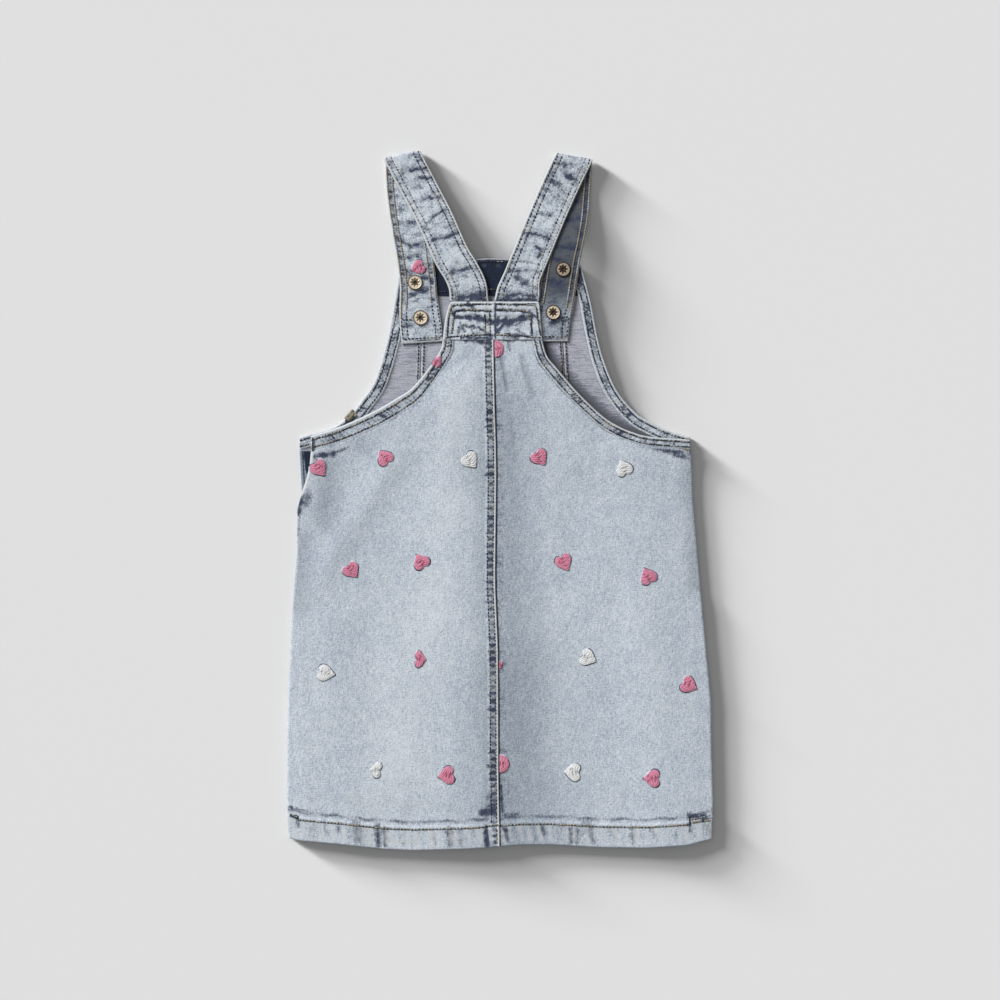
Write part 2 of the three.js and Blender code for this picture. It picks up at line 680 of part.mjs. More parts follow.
function facing() {
  const left = (y) => lookUp(panelEdge(ARMS.frontLeft), 'y', y, 'x');
  const right = (y) => lookUp(panelEdge(ARMS.frontRight), 'y', y, 'x');
  const floor = BIB_RISE + CLOTH + SEAM_GAP;
  const height = { top: floor + FACING_WALL, bottom: floor };
  const top = 176;
  const rows = [FACING_BOTTOM, 165, top].map((y) => spread(8)(left(y), right(y)).map((x) => ({
    x, y: y === top ? lookUp(BIB_TOP, 'x', x, 'y') - 0.6 : y, ...height,
  })));
  add('bib_facing', slab(rows), 'facing');
}

// Placket on the front's edge at the left side opening
function placket() {
  const floor = CLOTH + SEAM_GAP;
  const rows = [-2, 6, 16, 26, 36.5].map((y) => {
    const edge = lookUp(FRONT_LEFT_SIDE, 'y', y, 'x') + 0.4;
    const depth = 16 * smooth(-14, 16, y);
    return spread(2)(edge, edge + 4 + depth).map((x) => ({
      x, y, top: floor + PLACKET_WALL, bottom: floor,
    }));
  });
  add('side_placket', slab(rows), 'facing');
}

// Straps: one ribbon that runs up the front leg, round the shoulder fold and down the back leg
function legStations(rows, steps, endWidth) {
  const last = rows.length - 1;
  const xs = column(rows, 'x');
  const ys = column(rows, 'y');
  const slants = column(rows, 'slant');
  return Array.from({ length: steps + 1 }, (_, k) => {
    const s = (k / steps) * last;
    const step = 0.02;
    const before = Math.max(0, s - step);
    const after = Math.min(last, s + step);
    const run = new THREE.Vector2(
      along(xs, after) - along(xs, before),
      along(ys, after) - along(ys, before),
    ).normalize();
    const angle = THREE.MathUtils.degToRad(along(slants, s));
    const across = new THREE.Vector2(Math.cos(angle), Math.sin(angle));
    const width = STRAP_WIDTH + (endWidth - STRAP_WIDTH) * smooth(last - FLARE_START, last - FLARE_END, s);
    const half = width / 2 / Math.abs(run.x * across.y - run.y * across.x);
    return { x: along(xs, s), y: along(ys, s), across, half };
  });
}

function strapRing(station, z, tilt) {
  const outward = new THREE.Vector2(-station.across.y, station.across.x);
  const SECTION = [
    { side: -1, lift: -0.5 }, { side: -0.2, lift: -0.5 }, { side: 0.2, lift: -0.5 }, { side: 1, lift: -0.5 },
    { side: 1, lift: 0.5 }, { side: 0.2, lift: 0.5 }, { side: -0.2, lift: 0.5 }, { side: -1, lift: 0.5 },
  ];
  return SECTION.map(({ side, lift }) => ({
    x: station.x + station.across.x * station.half * side + outward.x * Math.sin(tilt) * lift * STRAP_WALL,
    y: station.y + station.across.y * station.half * side + outward.y * Math.sin(tilt) * lift * STRAP_WALL,
    z: z + Math.cos(tilt) * lift * STRAP_WALL,
  }));
}

function strap(name, legs) {
  const front = legStations(legs.front, LEG_STEPS, legs.endWidth).reverse();
  const back = legStations(legs.back, LEG_STEPS, legs.rootWidth);
  const mid = STRAP_WALL / 2;
  const frontRings = front.map((p) => strapRing(p, strapFloor(p.y) + mid, Math.PI));
  const backRings = back.map((p) => strapRing(p, strapBackFloor(p.y) + mid, 0));
  const low = mid;
  const high = FOLD_FLOOR + mid;
  const radius = (high - low) / 2;
  const from = front[front.length - 1];
  const to = back[0];
  const bend = Array.from({ length: FOLD_STEPS - 1 }, (_, k) => {
    const t = (k + 1) / FOLD_STEPS;
    const turn = Math.PI * (1 - t);
    const outward = new THREE.Vector2(-to.across.y, to.across.x);
    const reach = radius * Math.sin(turn);
    const station = {
      x: from.x * (1 - t) + to.x * t + outward.x * reach,
      y: from.y * (1 - t) + to.y * t + outward.y * reach,
      across: to.across,
      half: from.half * (1 - t) + to.half * t,
    };
    return strapRing(station, (low + high) / 2 + radius * Math.cos(turn), turn);
  });
  add(name, loft([...frontRings, ...bend, ...backRings]), 'denim');
}

// Round metal parts: the button cap under the bib and the tack's pierced back on the strap
function buttonProfile() {
  return [
    [0, 0], [BUTTON_RADIUS - 1.4, 0], [BUTTON_RADIUS, 0.9], [BUTTON_RADIUS - 0.5, BUTTON_HEIGHT],
    [0, BUTTON_HEIGHT],
  ].map(([r, z]) => new THREE.Vector2(r, z));
}

function tackProfile() {
  return [
    [TACK_HOLE, 0], [TACK_RADIUS, 0], [TACK_RADIUS, TACK_HEIGHT * 0.7], [TACK_RADIUS - 0.7, TACK_HEIGHT],
    [TACK_RADIUS - 1.6, TACK_HEIGHT * 0.6], [TACK_HOLE + 0.4, TACK_HEIGHT * 0.85], [TACK_HOLE, 0.3],
    [TACK_HOLE, 0],
  ].map(([r, z]) => new THREE.Vector2(r, z));
}

function turned(profile) {
  const geometry = new THREE.LatheGeometry(profile, ROUND_SIDES);
  geometry.rotateX(Math.PI / 2);
  return geometry;
}

function fasteners() {
  TACKS.forEach(({ name, x, y }) => {
    add(`button_${name}`, turned(buttonProfile()), 'metal').position.set(x, y, 0);
    const seat = strapFloor(y) + STRAP_WALL + SEAM_GAP;
    add(`tack_back_${name}`, turned(tackProfile()), 'metal').position.set(x, y, seat);
  });
}

// Heart outline, one unit across and along, with its tip towards +X
function heartPoint(angle) {
  const s = Math.sin(angle);
  const across = s * s * s;
  const long = (13 * Math.cos(angle) - 5 * Math.cos(2 * angle) - 2 * Math.cos(3 * angle)
    - Math.cos(4 * angle)) / 17;
  const heart = { along: -(long + 0.14) * 0.59, across: across * 0.5 };
  const oval = { along: -Math.cos(angle) * 0.5, across: s * 0.5 };
  const blend = (key) => heart[key] * (1 - HEART_ROUNDNESS) + oval[key] * HEART_ROUNDNESS;
  return { along: blend('along'), across: blend('across') };
}

// Padded motif that lies on the cloth below it: rim, raised ring and crown
function motif(outline, centre, surface) {
  const RINGS = [
    { share: 1, height: 0 }, { share: 1, height: 0.45 }, { share: 0.72, height: 0.95 },
  ];
  const positions = [];
  RINGS.forEach(({ share, height }) => outline.forEach((p) => {
    const x = centre.x + (p.x - centre.x) * share;
    const y = centre.y + (p.y - centre.y) * share;
    positions.push(x, y, surface(x, y) + SEAM_GAP + HEART_HEIGHT * height);
  }));
  const n = outline.length;
  const foot = surface(centre.x, centre.y) + SEAM_GAP;
  positions.push(centre.x, centre.y, foot, centre.x, centre.y, foot + HEART_HEIGHT);
  const faces = [];
  for (let i = 0; i < n; i += 1) {
    const j = (i + 1) % n;
    faces.push(3 * n, j, i);
    faces.push(i, j, n + j, i, n + j, n + i);
    faces.push(n + i, n + j, 2 * n + j, n + i, 2 * n + j, 2 * n + i);
    faces.push(2 * n + i, 2 * n + j, 3 * n + 1);
  }
  return closedGeometry(positions, faces);
}

function heartOutline(heart) {
  const turn = THREE.MathUtils.degToRad(heart.tip);
  return Array.from({ length: HEART_SIDES }, (_, i) => {
    const p = heartPoint(((i + 0.5) / HEART_SIDES) * 2 * Math.PI);
    const u = p.along * heart.long;
    const v = p.across * heart.wide;
    return {
      x: heart.x + u * Math.cos(turn) - v * Math.sin(turn),
      y: heart.y + u * Math.sin(turn) + v * Math.cos(turn),
    };
  });
}

// Half heart beside the lap: straight along the seam, with its tip towards +X
function lappedOutline(heart) {
  const edge = (y) => seamAt(y) + 0.8;
  const arc = Array.from({ length: 11 }, (_, i) => {
    const turn = Math.PI * (i / 10 - 0.5);
    const y = heart.y + (Math.sin(turn) * heart.long) / 2;
    return { x: edge(y) + heart.wide * Math.cos(turn) ** 0.8 + 0.2, y };
  });
  const straight = [0.5, 0, -0.5].map((share) => {
    const y = heart.y + heart.long * share * 0.9;
    return { x: edge(y), y };
  });
  return [...arc, ...straight];
}

function heartSurface(heart) {
  if (heart.y > 150) {
    return (x, y) => strapFloor(y) + STRAP_WALL;
  }
  if (heart.y > 90) {
    return (x, y) => backFloor(x, y) + BINDING_WALL;
  }
  return backTop;
}

function hearts() {
  HEARTS.forEach((heart, i) => {
    const name = `heart_${String(i + 1).padStart(2, '0')}`;
    const geometry = motif(heartOutline(heart), heart, heartSurface(heart));
    add(name, geometry, heart.pink ? 'pink' : 'white');
  });
  LAPPED_HEARTS.forEach((heart, i) => {
    const centre = { x: seamAt(heart.y) + 0.8 + heart.wide * 0.42, y: heart.y };
    add(`heart_lapped_${i + 1}`, motif(lappedOutline(heart), centre, backTop), 'pink');
  });
}

backPanels();
bindings();
yoke();
frontPanels();
facing();
placket();
strap('strap_left', STRAP_LEFT);
strap('strap_right', STRAP_RIGHT);
fasteners();
hearts();

// The finished dress stands with the centre of its box over the origin
dress.updateMatrixWorld(true);
const box = new THREE.Box3().setFromObject(dress, true);
dress.position.set(-(box.min.x + box.max.x) / 2, -(box.min.y + box.max.y) / 2, -box.min.z);

export default dress;
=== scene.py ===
import math

import bpy
import numpy as np
from bpy.props import FloatProperty, FloatVectorProperty
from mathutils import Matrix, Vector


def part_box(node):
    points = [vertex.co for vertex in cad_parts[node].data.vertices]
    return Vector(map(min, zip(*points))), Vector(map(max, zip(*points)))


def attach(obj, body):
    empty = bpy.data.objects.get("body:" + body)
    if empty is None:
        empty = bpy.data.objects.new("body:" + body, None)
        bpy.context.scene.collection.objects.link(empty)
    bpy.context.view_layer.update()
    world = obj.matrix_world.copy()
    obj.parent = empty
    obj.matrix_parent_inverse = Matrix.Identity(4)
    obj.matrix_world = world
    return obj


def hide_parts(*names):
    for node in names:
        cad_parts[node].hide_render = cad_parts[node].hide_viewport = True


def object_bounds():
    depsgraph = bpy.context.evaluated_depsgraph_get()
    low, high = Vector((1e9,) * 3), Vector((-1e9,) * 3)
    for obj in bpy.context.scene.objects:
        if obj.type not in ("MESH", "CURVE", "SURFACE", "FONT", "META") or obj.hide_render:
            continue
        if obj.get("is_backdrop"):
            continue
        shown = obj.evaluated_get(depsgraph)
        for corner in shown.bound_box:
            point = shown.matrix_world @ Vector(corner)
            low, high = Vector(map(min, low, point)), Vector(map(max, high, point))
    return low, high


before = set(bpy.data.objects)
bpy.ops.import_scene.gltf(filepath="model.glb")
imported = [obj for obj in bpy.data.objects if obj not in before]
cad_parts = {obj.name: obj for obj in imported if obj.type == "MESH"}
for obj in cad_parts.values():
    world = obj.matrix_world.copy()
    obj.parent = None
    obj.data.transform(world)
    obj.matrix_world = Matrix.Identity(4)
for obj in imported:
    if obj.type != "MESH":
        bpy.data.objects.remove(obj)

bl_info = {
    "name": "Denim pinafore dress",
    "version": (1, 0, 0),
    "blender": (4, 5, 0),
    "location": "View3D > Sidebar > Dress",
    "description": "Washed denim, stitching, embroidered hearts and metal for the pinafore dress",
    "category": "Object",
}

CAD_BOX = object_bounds()

# Sizes are millimetres in the drawing frame of the part. SHIFT moves them to their place in the shared frame.
MM = 0.001
YOKE_CORNER = (-43.0, 119.8)
SHIFT = np.array([
    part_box("back_yoke")[0][0] * 1000 - YOKE_CORNER[0],
    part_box("back_yoke")[0][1] * 1000 - YOKE_CORNER[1],
    0.0,
])

# Cloth and clearances
CLOTH = 1.1
HEM_WALL, HEM_DEPTH = 1.9, 17.5
SEAM_WALL, BAND_WIDTH = 1.6, 5.6
LAP_WALL, LAP_WIDTH = 1.75, 7.6
BINDING_WALL = 1.7
FACING_WALL = PLACKET_WALL = 0.8
STRAP_WALL, STRAP_WIDTH = 1.7, 27.4
YOKE_WALL = 2.4
SEAM_GAP = 0.3

# Heights above the table
BIB_RISE = 2.3
YOKE_FLOOR, PANEL_FLOOR = 6.7, 6.9
BACK_REST, EDGE_REST = 0.85, 0.35
STRAP_REST, STRAP_END_REST = 4.8, 4.1
FOLD_FLOOR, ROOT_FLOOR = 3.0, 7.0

# Levels along the length of the dress
YOKE_TOP, YOKE_BOTTOM = 148.3, 119.8
PANEL_TOP = YOKE_BOTTOM - SEAM_GAP
FACING_BOTTOM, STRAP_BEND, STRAP_END = 152.8, 142.0, 117.5

# Armhole bindings from the top down: outer edge x, y, inner edge x, y
BACK_ARM_LEFT = (
    (-43.1, 119.5, -34.8, 119.5), (-44.6, 112.6, -36.4, 109.8), (-51.6, 101.1, -44.6, 95.6),
    (-65.4, 84.3, -59.2, 75.4), (-78.2, 75.6, -72.6, 65.5), (-93.9, 66.6, -88.8, 55.9),
    (-119.4, 55, -115.3, 44.3), (-141.9, 47.6, -141.9, 36.4),
)
BACK_ARM_RIGHT = (
    (31.4, 119.5, 24, 119.5), (35.1, 107.8, 28, 105.2), (42.2, 98.8, 36.1, 93.7), (58.3, 80.1, 52.8, 75.2),
    (76.3, 63, 71.7, 57.5), (88.3, 55.2, 85.1, 48.7), (99.6, 50.4, 97.3, 43.7), (112.5, 47.2, 111.3, 40.3),
    (142.3, 45, 142.5, 38),
)
FRONT_ARM_LEFT = (
    (-75.6, 175, -66.2, 176), (-79.3, 149.8, -69.9, 148.6), (-84.9, 119.8, -75.8, 117.4),
    (-93.9, 89.8, -85.6, 85.4), (-103.7, 74.8, -96.5, 68.8), (-112.7, 63.8, -106.8, 56.5),
    (-126.2, 54, -122.4, 45.5), (-150.5, 47.1, -150.5, 37.8),
)
FRONT_ARM_RIGHT = (
    (60.6, 175.6, 51.4, 176.8), (67.7, 149.1, 58.9, 151.2), (73.3, 120.6, 64.4, 122.8),
    (79.3, 100.3, 70.6, 98.4), (88.3, 80.8, 80.6, 76.4), (101.8, 65.1, 96, 58.3), (113.8, 57.6, 110, 49.7),
    (127.3, 51.6, 124.6, 43.4), (142.3, 47, 142.5, 38),
)

# Seams and edges as y, x
LEFT_SIDE = (
    (60, -141.9), (36, -141.9), (26, -142.8), (17, -144.9), (5, -148.7), (-7, -152.1), (-41, -152.4),
    (-75, -155.4), (-120, -157.7), (-173, -159.6), (-239, -159.6), (-264, -158.2),
)
FRONT_LEFT_SIDE = (
    (60, -150.5), (34, -150.5), (12, -149.2), (5, -148.9), (-7, -152.1), (-41, -152.4), (-75, -155.4),
    (-120, -157.7), (-173, -159.6), (-239, -159.6), (-264, -158.2),
)
RIGHT_SIDE = (
    (60, 141.9), (38, 142.5), (24, 143.8), (1, 144.4), (-45, 148.3), (-113, 154.3), (-150, 158.1),
    (-186, 158.4), (-233, 159.6), (-264, 158.4),
)
CENTRE_SEAM = (
    (150, -5.2), (110, -4.8), (67, -3.9), (43, -3.1), (20, -2.8), (-5, -3), (-53, -3.6), (-65, -3.5),
    (-113, -1.5), (-200, -1.2), (-264, -0.2),
)
FRONT_SEAM_LEFT = ((190, -57.0), (107, -59.4), (-264, -72.0))
FRONT_SEAM_RIGHT = ((190, 42.5), (107, 47.6), (-264, 66.0))

# Edges that run across, as x, y
HEM_LINE = (
    (-160, -253.2), (-148.7, -255.5), (-118.7, -258.2), (-86.4, -261.7), (-65.1, -262.6), (-23.4, -261.4),
    (14.8, -258.5), (38.8, -258.4), (74.8, -260.4), (110, -260.8), (140, -258.8), (160, -253.8),
)
BIB_TOP = ((-76, 175.0), (-66, 176.2), (-40, 179.3), (-8, 180.8), (25, 179.5), (51, 177.0), (61, 175.6))

# Large soft folds of the back: from x, y to x, y, half width, rise
FOLDS = (
    (-14, 95, -22, -262, 34, 1.9), (96, 30, 128, -262, 26, 1.5), (-82, 26, -146, -72, 11, 1.3),
    (-128, -96, -112, -262, 17, 0.9), (54, 66, 74, -60, 15, 0.6),
)
FOLD_FADE = 26

# Small creases and swells of the back: from x, y to x, y, half width, rise
CREASES = (
    (-137, 8, -112, -12, 4, -0.35), (-146, -24, -120, -34, 5, 0.3), (-60, 60, -30, 84, 5, 0.3),
    (-38, 76, -20, 104, 4, -0.3), (12, 108, 30, 84, 4.5, 0.35), (24, 70, 52, 52, 6, -0.3),
    (80, 38, 118, 22, 6, 0.3), (112, 8, 138, -10, 5, -0.25), (-100, -90, -88, -170, 9, -0.3),
    (-48, -20, -56, -120, 10, -0.3), (30, -30, 40, -140, 10, -0.35), (90, -60, 84, -150, 9, -0.25),
    (140, -170, 148, -225, 6, 0.25), (-148, -190, -142, -238, 5, 0.25), (60, -215, 66, -240, 6, 0.3),
    (96, -222, 92, -240, 5, -0.25), (-30, -222, -26, -240, 5, -0.25), (-72, -226, -76, -240, 4, 0.3),
    (12, 40, 18, -20, 7, -0.25), (-14, -160, -12, -236, 6, 0.3),
)

# Straps: centre line from the fold down, as x, y, slant of the section in degrees
STRAPS = {
    "left": {
        "front": (
            (-72.8, 256.8, 10.5), (-72.0, 236.0, -3), (-69.6, 216.0, -6), (-67.0, 200.0, -8),
            (-63.8, 181.5, -9), (-61.6, 163.0, -6), (-60.3, 139.5, 0), (-58.1, 117.5, 4),
        ),
        "back": (
            (-73.2, 257.2, 10.5), (-61.6, 235.0, 26), (-48.8, 210.2, 27), (-37.2, 184.2, 24),
            (-29.4, 171.0, 24), (-24.6, 160.4, 14), (-23.2, 148.6, 0),
        ),
        "end": 31.2,
        "root": 28.8,
    },
    "right": {
        "front": (
            (55.3, 255.2, -9.7), (54.6, 236.0, 2), (52.8, 214.0, 5), (49.8, 196.5, 9),
            (46.0, 178.0, 9), (41.2, 148.0, 9), (38.2, 135.0, 5), (36.4, 118.5, 0),
        ),
        "back": (
            (54.8, 255.6, -9.7), (46.4, 238.0, -25), (36.2, 215.0, -24), (24.0, 185.4, -23),
            (17.6, 170.0, -21), (14.2, 158.6, -10), (12.1, 148.6, 0),
        ),
        "end": 28.4,
        "root": 32.6,
    },
}

# Tack backs on the straps: name, x, y
TACKS = (
    ("left_upper", -63.8, 162.7), ("left_lower", -59.7, 136.3),
    ("right_upper", 47.0, 172.5), ("right_lower", 39.6, 140.3),
)
# Their profile from the foot to the middle of the hole: radius, height
TACK_PROFILE = (
    (5.2, 0), (5.6, 0.15), (5.6, 0.85), (5.35, 1.15), (5, 1.2), (4.7, 1.05), (4.4, 0.92), (4, 0.98),
    (3.7, 1.02), (3.4, 1.04), (3.1, 1.05), (2.8, 1.05), (2.5, 1.05), (2.2, 1.05), (1.9, 1.05), (1.6, 1.05),
    (1.4, 0.95), (1.3, 0.5), (1.1, 0.2), (0.3, 0.2),
)
TACK_SIDES = 96

# Embroidered hearts: x, y, width, length, direction of the tip in degrees, 1 for pink and 0 for white
HEARTS = (
    (-135.6, 23.4, 12.8, 13.4, -53, 1), (-86.6, 31.7, 12.2, 12.4, 128, 1),
    (-22.6, 29.3, 12.8, 13.2, -51, 0), (29.6, 31.4, 12.6, 13, -54, 1), (92.6, 23.6, 12.4, 12.4, 113, 0),
    (-46.9, 103.6, 6, 10.4, 62, 1), (-61.7, 173.8, 10.6, 11.2, 201, 1), (-111.2, -53, 12.6, 12.6, -53, 1),
    (-59.4, -46.2, 12.4, 12.2, 123, 1), (47.8, -47, 12.4, 13.4, -63, 1), (110.6, -57.2, 12.6, 12.8, 116, 1),
    (-130.5, -129.8, 12.2, 13.6, -10, 0), (-59.9, -119.4, 12.6, 8.6, 0, 1),
    (65.9, -118.6, 12.6, 12.4, -24, 0), (141.3, -138.8, 12.6, 12.8, -26, 1),
    (-93, -202.2, 12.2, 8.6, 169, 0), (-40.2, -206.4, 13.4, 13, 189, 1), (54.4, -204.2, 13.2, 12.6, 178, 0),
    (113.6, -208.6, 13.2, 12.6, 180, 1),
)
# Hearts partly under the lap of the centre seam: y, width, length
LAPPED_HEARTS = ((113.0, 6.2, 12.5), (-197.8, 6.8, 13.2), (-123.5, 2.4, 5.5))
HEART_HEIGHT, HEART_ROUNDNESS = 0.8, 0.35

# Unwashed indigo of the back, with painted shade under the armhole bindings and the yoke, as strokes seen
# from above: from x, y to x, y, half width, strength
BACK_DYE_AND_SHADE = (
    (-148, 8, -151.5, -10, 2.4, 1), (-143.6, 3, -146.4, -4, 2.6, 0.7), (-141.6, 32.4, -125, 34.4, 1.9, 1),
    (-125, 34.4, -115, 39, 1.2, 0.7), (-150.6, -12, -152, -26, 1.4, 0.5), (-140.5, 22, -140, 28, 1, 0.6),
    (122, 37, 140, 34.6, 1.6, 1), (130, 33.6, 141, 31.4, 1.6, 0.8), (114, 38.4, 124, 36, 0.9, 0.8),
    (142.4, 40, 143.6, 35, 0.8, 0.9), (-25.6, 119.6, -16.4, 118.4, 1.7, 0.8),
    (-16.4, 118.4, -6.6, 116.8, 1.8, 1), (2.6, 119.4, 10, 118.8, 1.4, 0.8),
    (15.6, 119.6, 25.1, 118.7, 1.1, 0.5), (5.6, 119.1, 6.7, 111.8, 1.2, 0.6),
    (-11.5, 114.8, -6.6, 114.3, 0.8, 0.8),
)
# Broad folds that catch the light, and those in the shade, as strokes too. They paint light and shade into
# the colour, and scale the lift of the back's relief
LIT_FOLDS = (
    (-34, 84, -42, -10, 15, 0.9), (-42, -10, -60, -120, 21, 1), (-60, -120, -84, -222, 27, 0.95),
    (-140, -170, -150, -250, 16, 0.35), (100, -80, 112, -160, 14, 0.3),
)
SHADED_FOLDS = (
    (-4, 92, 6, 10, 17, 0.8), (-1, 20, 8, -130, 25, 0.95), (10, -130, 14, -256, 34, 1.15),
    (-124, 24, -128, -18, 13, 0.65), (-147, -30, -150, -80, 9, 0.8), (147, 22, 150, -64, 9, 1),
    (60, 20, 44, -60, 12, 0.3), (-104, 40, -96, 78, 10, 0.5), (-60, -222, -30, -240, 12, 0.4),
    (1, 110, 5, 82, 2.6, 1.5), (17, 106, 24, 78, 3.2, 0.9), (8, 60, 12, 30, 4, 0.9),
    (-22, 112, -40, 96, 4, 0.5),
)
# Indigo of the hem and of the yoke. The yoke's first strokes are dents as well
HEM_DYE = (
    (141.8, -236.4, 156, -238.2, 2.2, 1), (155.4, -244, 156.6, -251, 1.6, 0.9),
    (141.8, -241.6, 141.8, -248.6, 0.9, 0.9), (-14, -234.4, -3.6, -232.6, 3, 1),
    (-8, -229, -4, -228, 1.8, 0.9), (-10, -223, -5, -220, 1.8, 0.7), (-10.6, -245, -9.6, -258, 2.2, 1),
    (2, -246, 6, -248, 2, 0.9), (3.6, -250, 7, -256, 1.6, 0.6), (0.4, -214, 1.6, -233, 1.2, 0.9),
    (6, -210, 6.4, -222, 0.8, 0.4), (1.6, -236, 12, -236, 1.6, 0.7), (-151.6, -238.6, -151.2, -245, 1, 0.9),
    (-159, -230, -156, -230.6, 1, 0.8), (-156, -230.6, -142, -234, 1, 0.6),
    (-92, -244, -91, -259, 2.2, 0.9), (-86.6, -246, -86, -259, 1.6, 0.85),
    (-108, -243, -106, -254, 5, 0.55), (-121, -242, -120, -249, 1.2, 0.75),
    (-141.6, -246, -140.4, -252, 1.2, 0.6), (-132, -240, -131.4, -252, 0.8, 0.5),
    (-38, -246, -37.4, -258, 2.4, 0.8), (-31, -248, -30, -257, 2.4, 0.5), (-50, -250, -49, -257, 2, 0.5),
    (-72, -250, -72, -257, 1.4, 0.5), (30, -243, 33, -250, 1.6, 0.8), (46, -244, 60, -250, 4, 0.35),
    (52.4, -246, 52.6, -256, 1.2, 1), (57, -246, 57.4, -256, 1.4, 1), (65, -243, 70, -255, 3.6, 0.55),
    (99, -246, 99.6, -256, 2.8, 0.55), (82, -246, 86, -254, 2.4, 0.4), (113, -247, 118, -255, 2.2, 0.4),
    (132, -247, 131, -254, 1.6, 0.4),
)
YOKE_DENTS = 8
YOKE_DYE = (
    (-33.7, 136.3, -16.9, 136.3, 1.4, 1), (-18, 135.9, -4.8, 132.6, 2.1, 1),
    (-3.4, 133.4, 8, 133.2, 2.4, 1), (8, 133.4, 23.1, 136.7, 2.1, 1), (22.1, 140.6, 26.9, 136.3, 1, 0.9),
    (-36.7, 142.4, -33.4, 135.6, 0.9, 0.9), (-29.9, 132.1, -26.7, 126.5, 1.1, 0.7),
    (-27.8, 130.2, -16.9, 128.7, 1.2, 0.8), (-16.9, 128.7, -6.1, 122.9, 1.1, 0.7),
    (-31, 128.9, -31.6, 122.9, 0.9, 0.7), (-1.8, 125.1, 1.5, 129.8, 1.2, 0.9),
    (3.6, 124.3, 13.6, 123.5, 1, 0.7), (12.3, 127.6, 16.9, 124.3, 0.9, 0.5),
    (-3.6, 147.3, -3.6, 120.8, 0.7, 1), (-23.7, 147.3, -18.9, 141, 1.3, 0.8),
    (-38.2, 139.5, -39.3, 125.1, 0.7, 0.7), (-34.8, 134.9, -36.4, 124.6, 0.8, 0.7),
    (23.4, 133.8, 23.6, 122.9, 0.9, 0.8), (28.3, 139.5, 30.5, 123.5, 0.7, 0.6),
    (-35.9, 144.9, -20.2, 146, 1, 0.75), (-20.2, 146, -5, 146.4, 0.7, 0.5),
    (-3.4, 146.2, 12.3, 145.4, 0.8, 0.6), (12.3, 145.6, 25.5, 146, 1, 0.75),
    (-33.7, 140.6, -26.7, 141.7, 1, 0.9), (-26.7, 141.7, -5, 140.6, 0.8, 0.7),
    (-3.3, 141.9, 8, 141.7, 1, 0.9), (8, 141.9, 22.1, 139.9, 0.9, 0.9),
    (-21.3, 126.7, -20.2, 123.5, 1.1, 0.5), (-11.5, 128.9, -11, 122.9, 0.7, 0.6),
    (16.6, 123.5, 25.3, 120.8, 0.9, 0.7), (-29, 121.6, -6.5, 120.8, 1.1, 0.85),
    (2, 121.2, 14, 121, 0.9, 0.6),
)
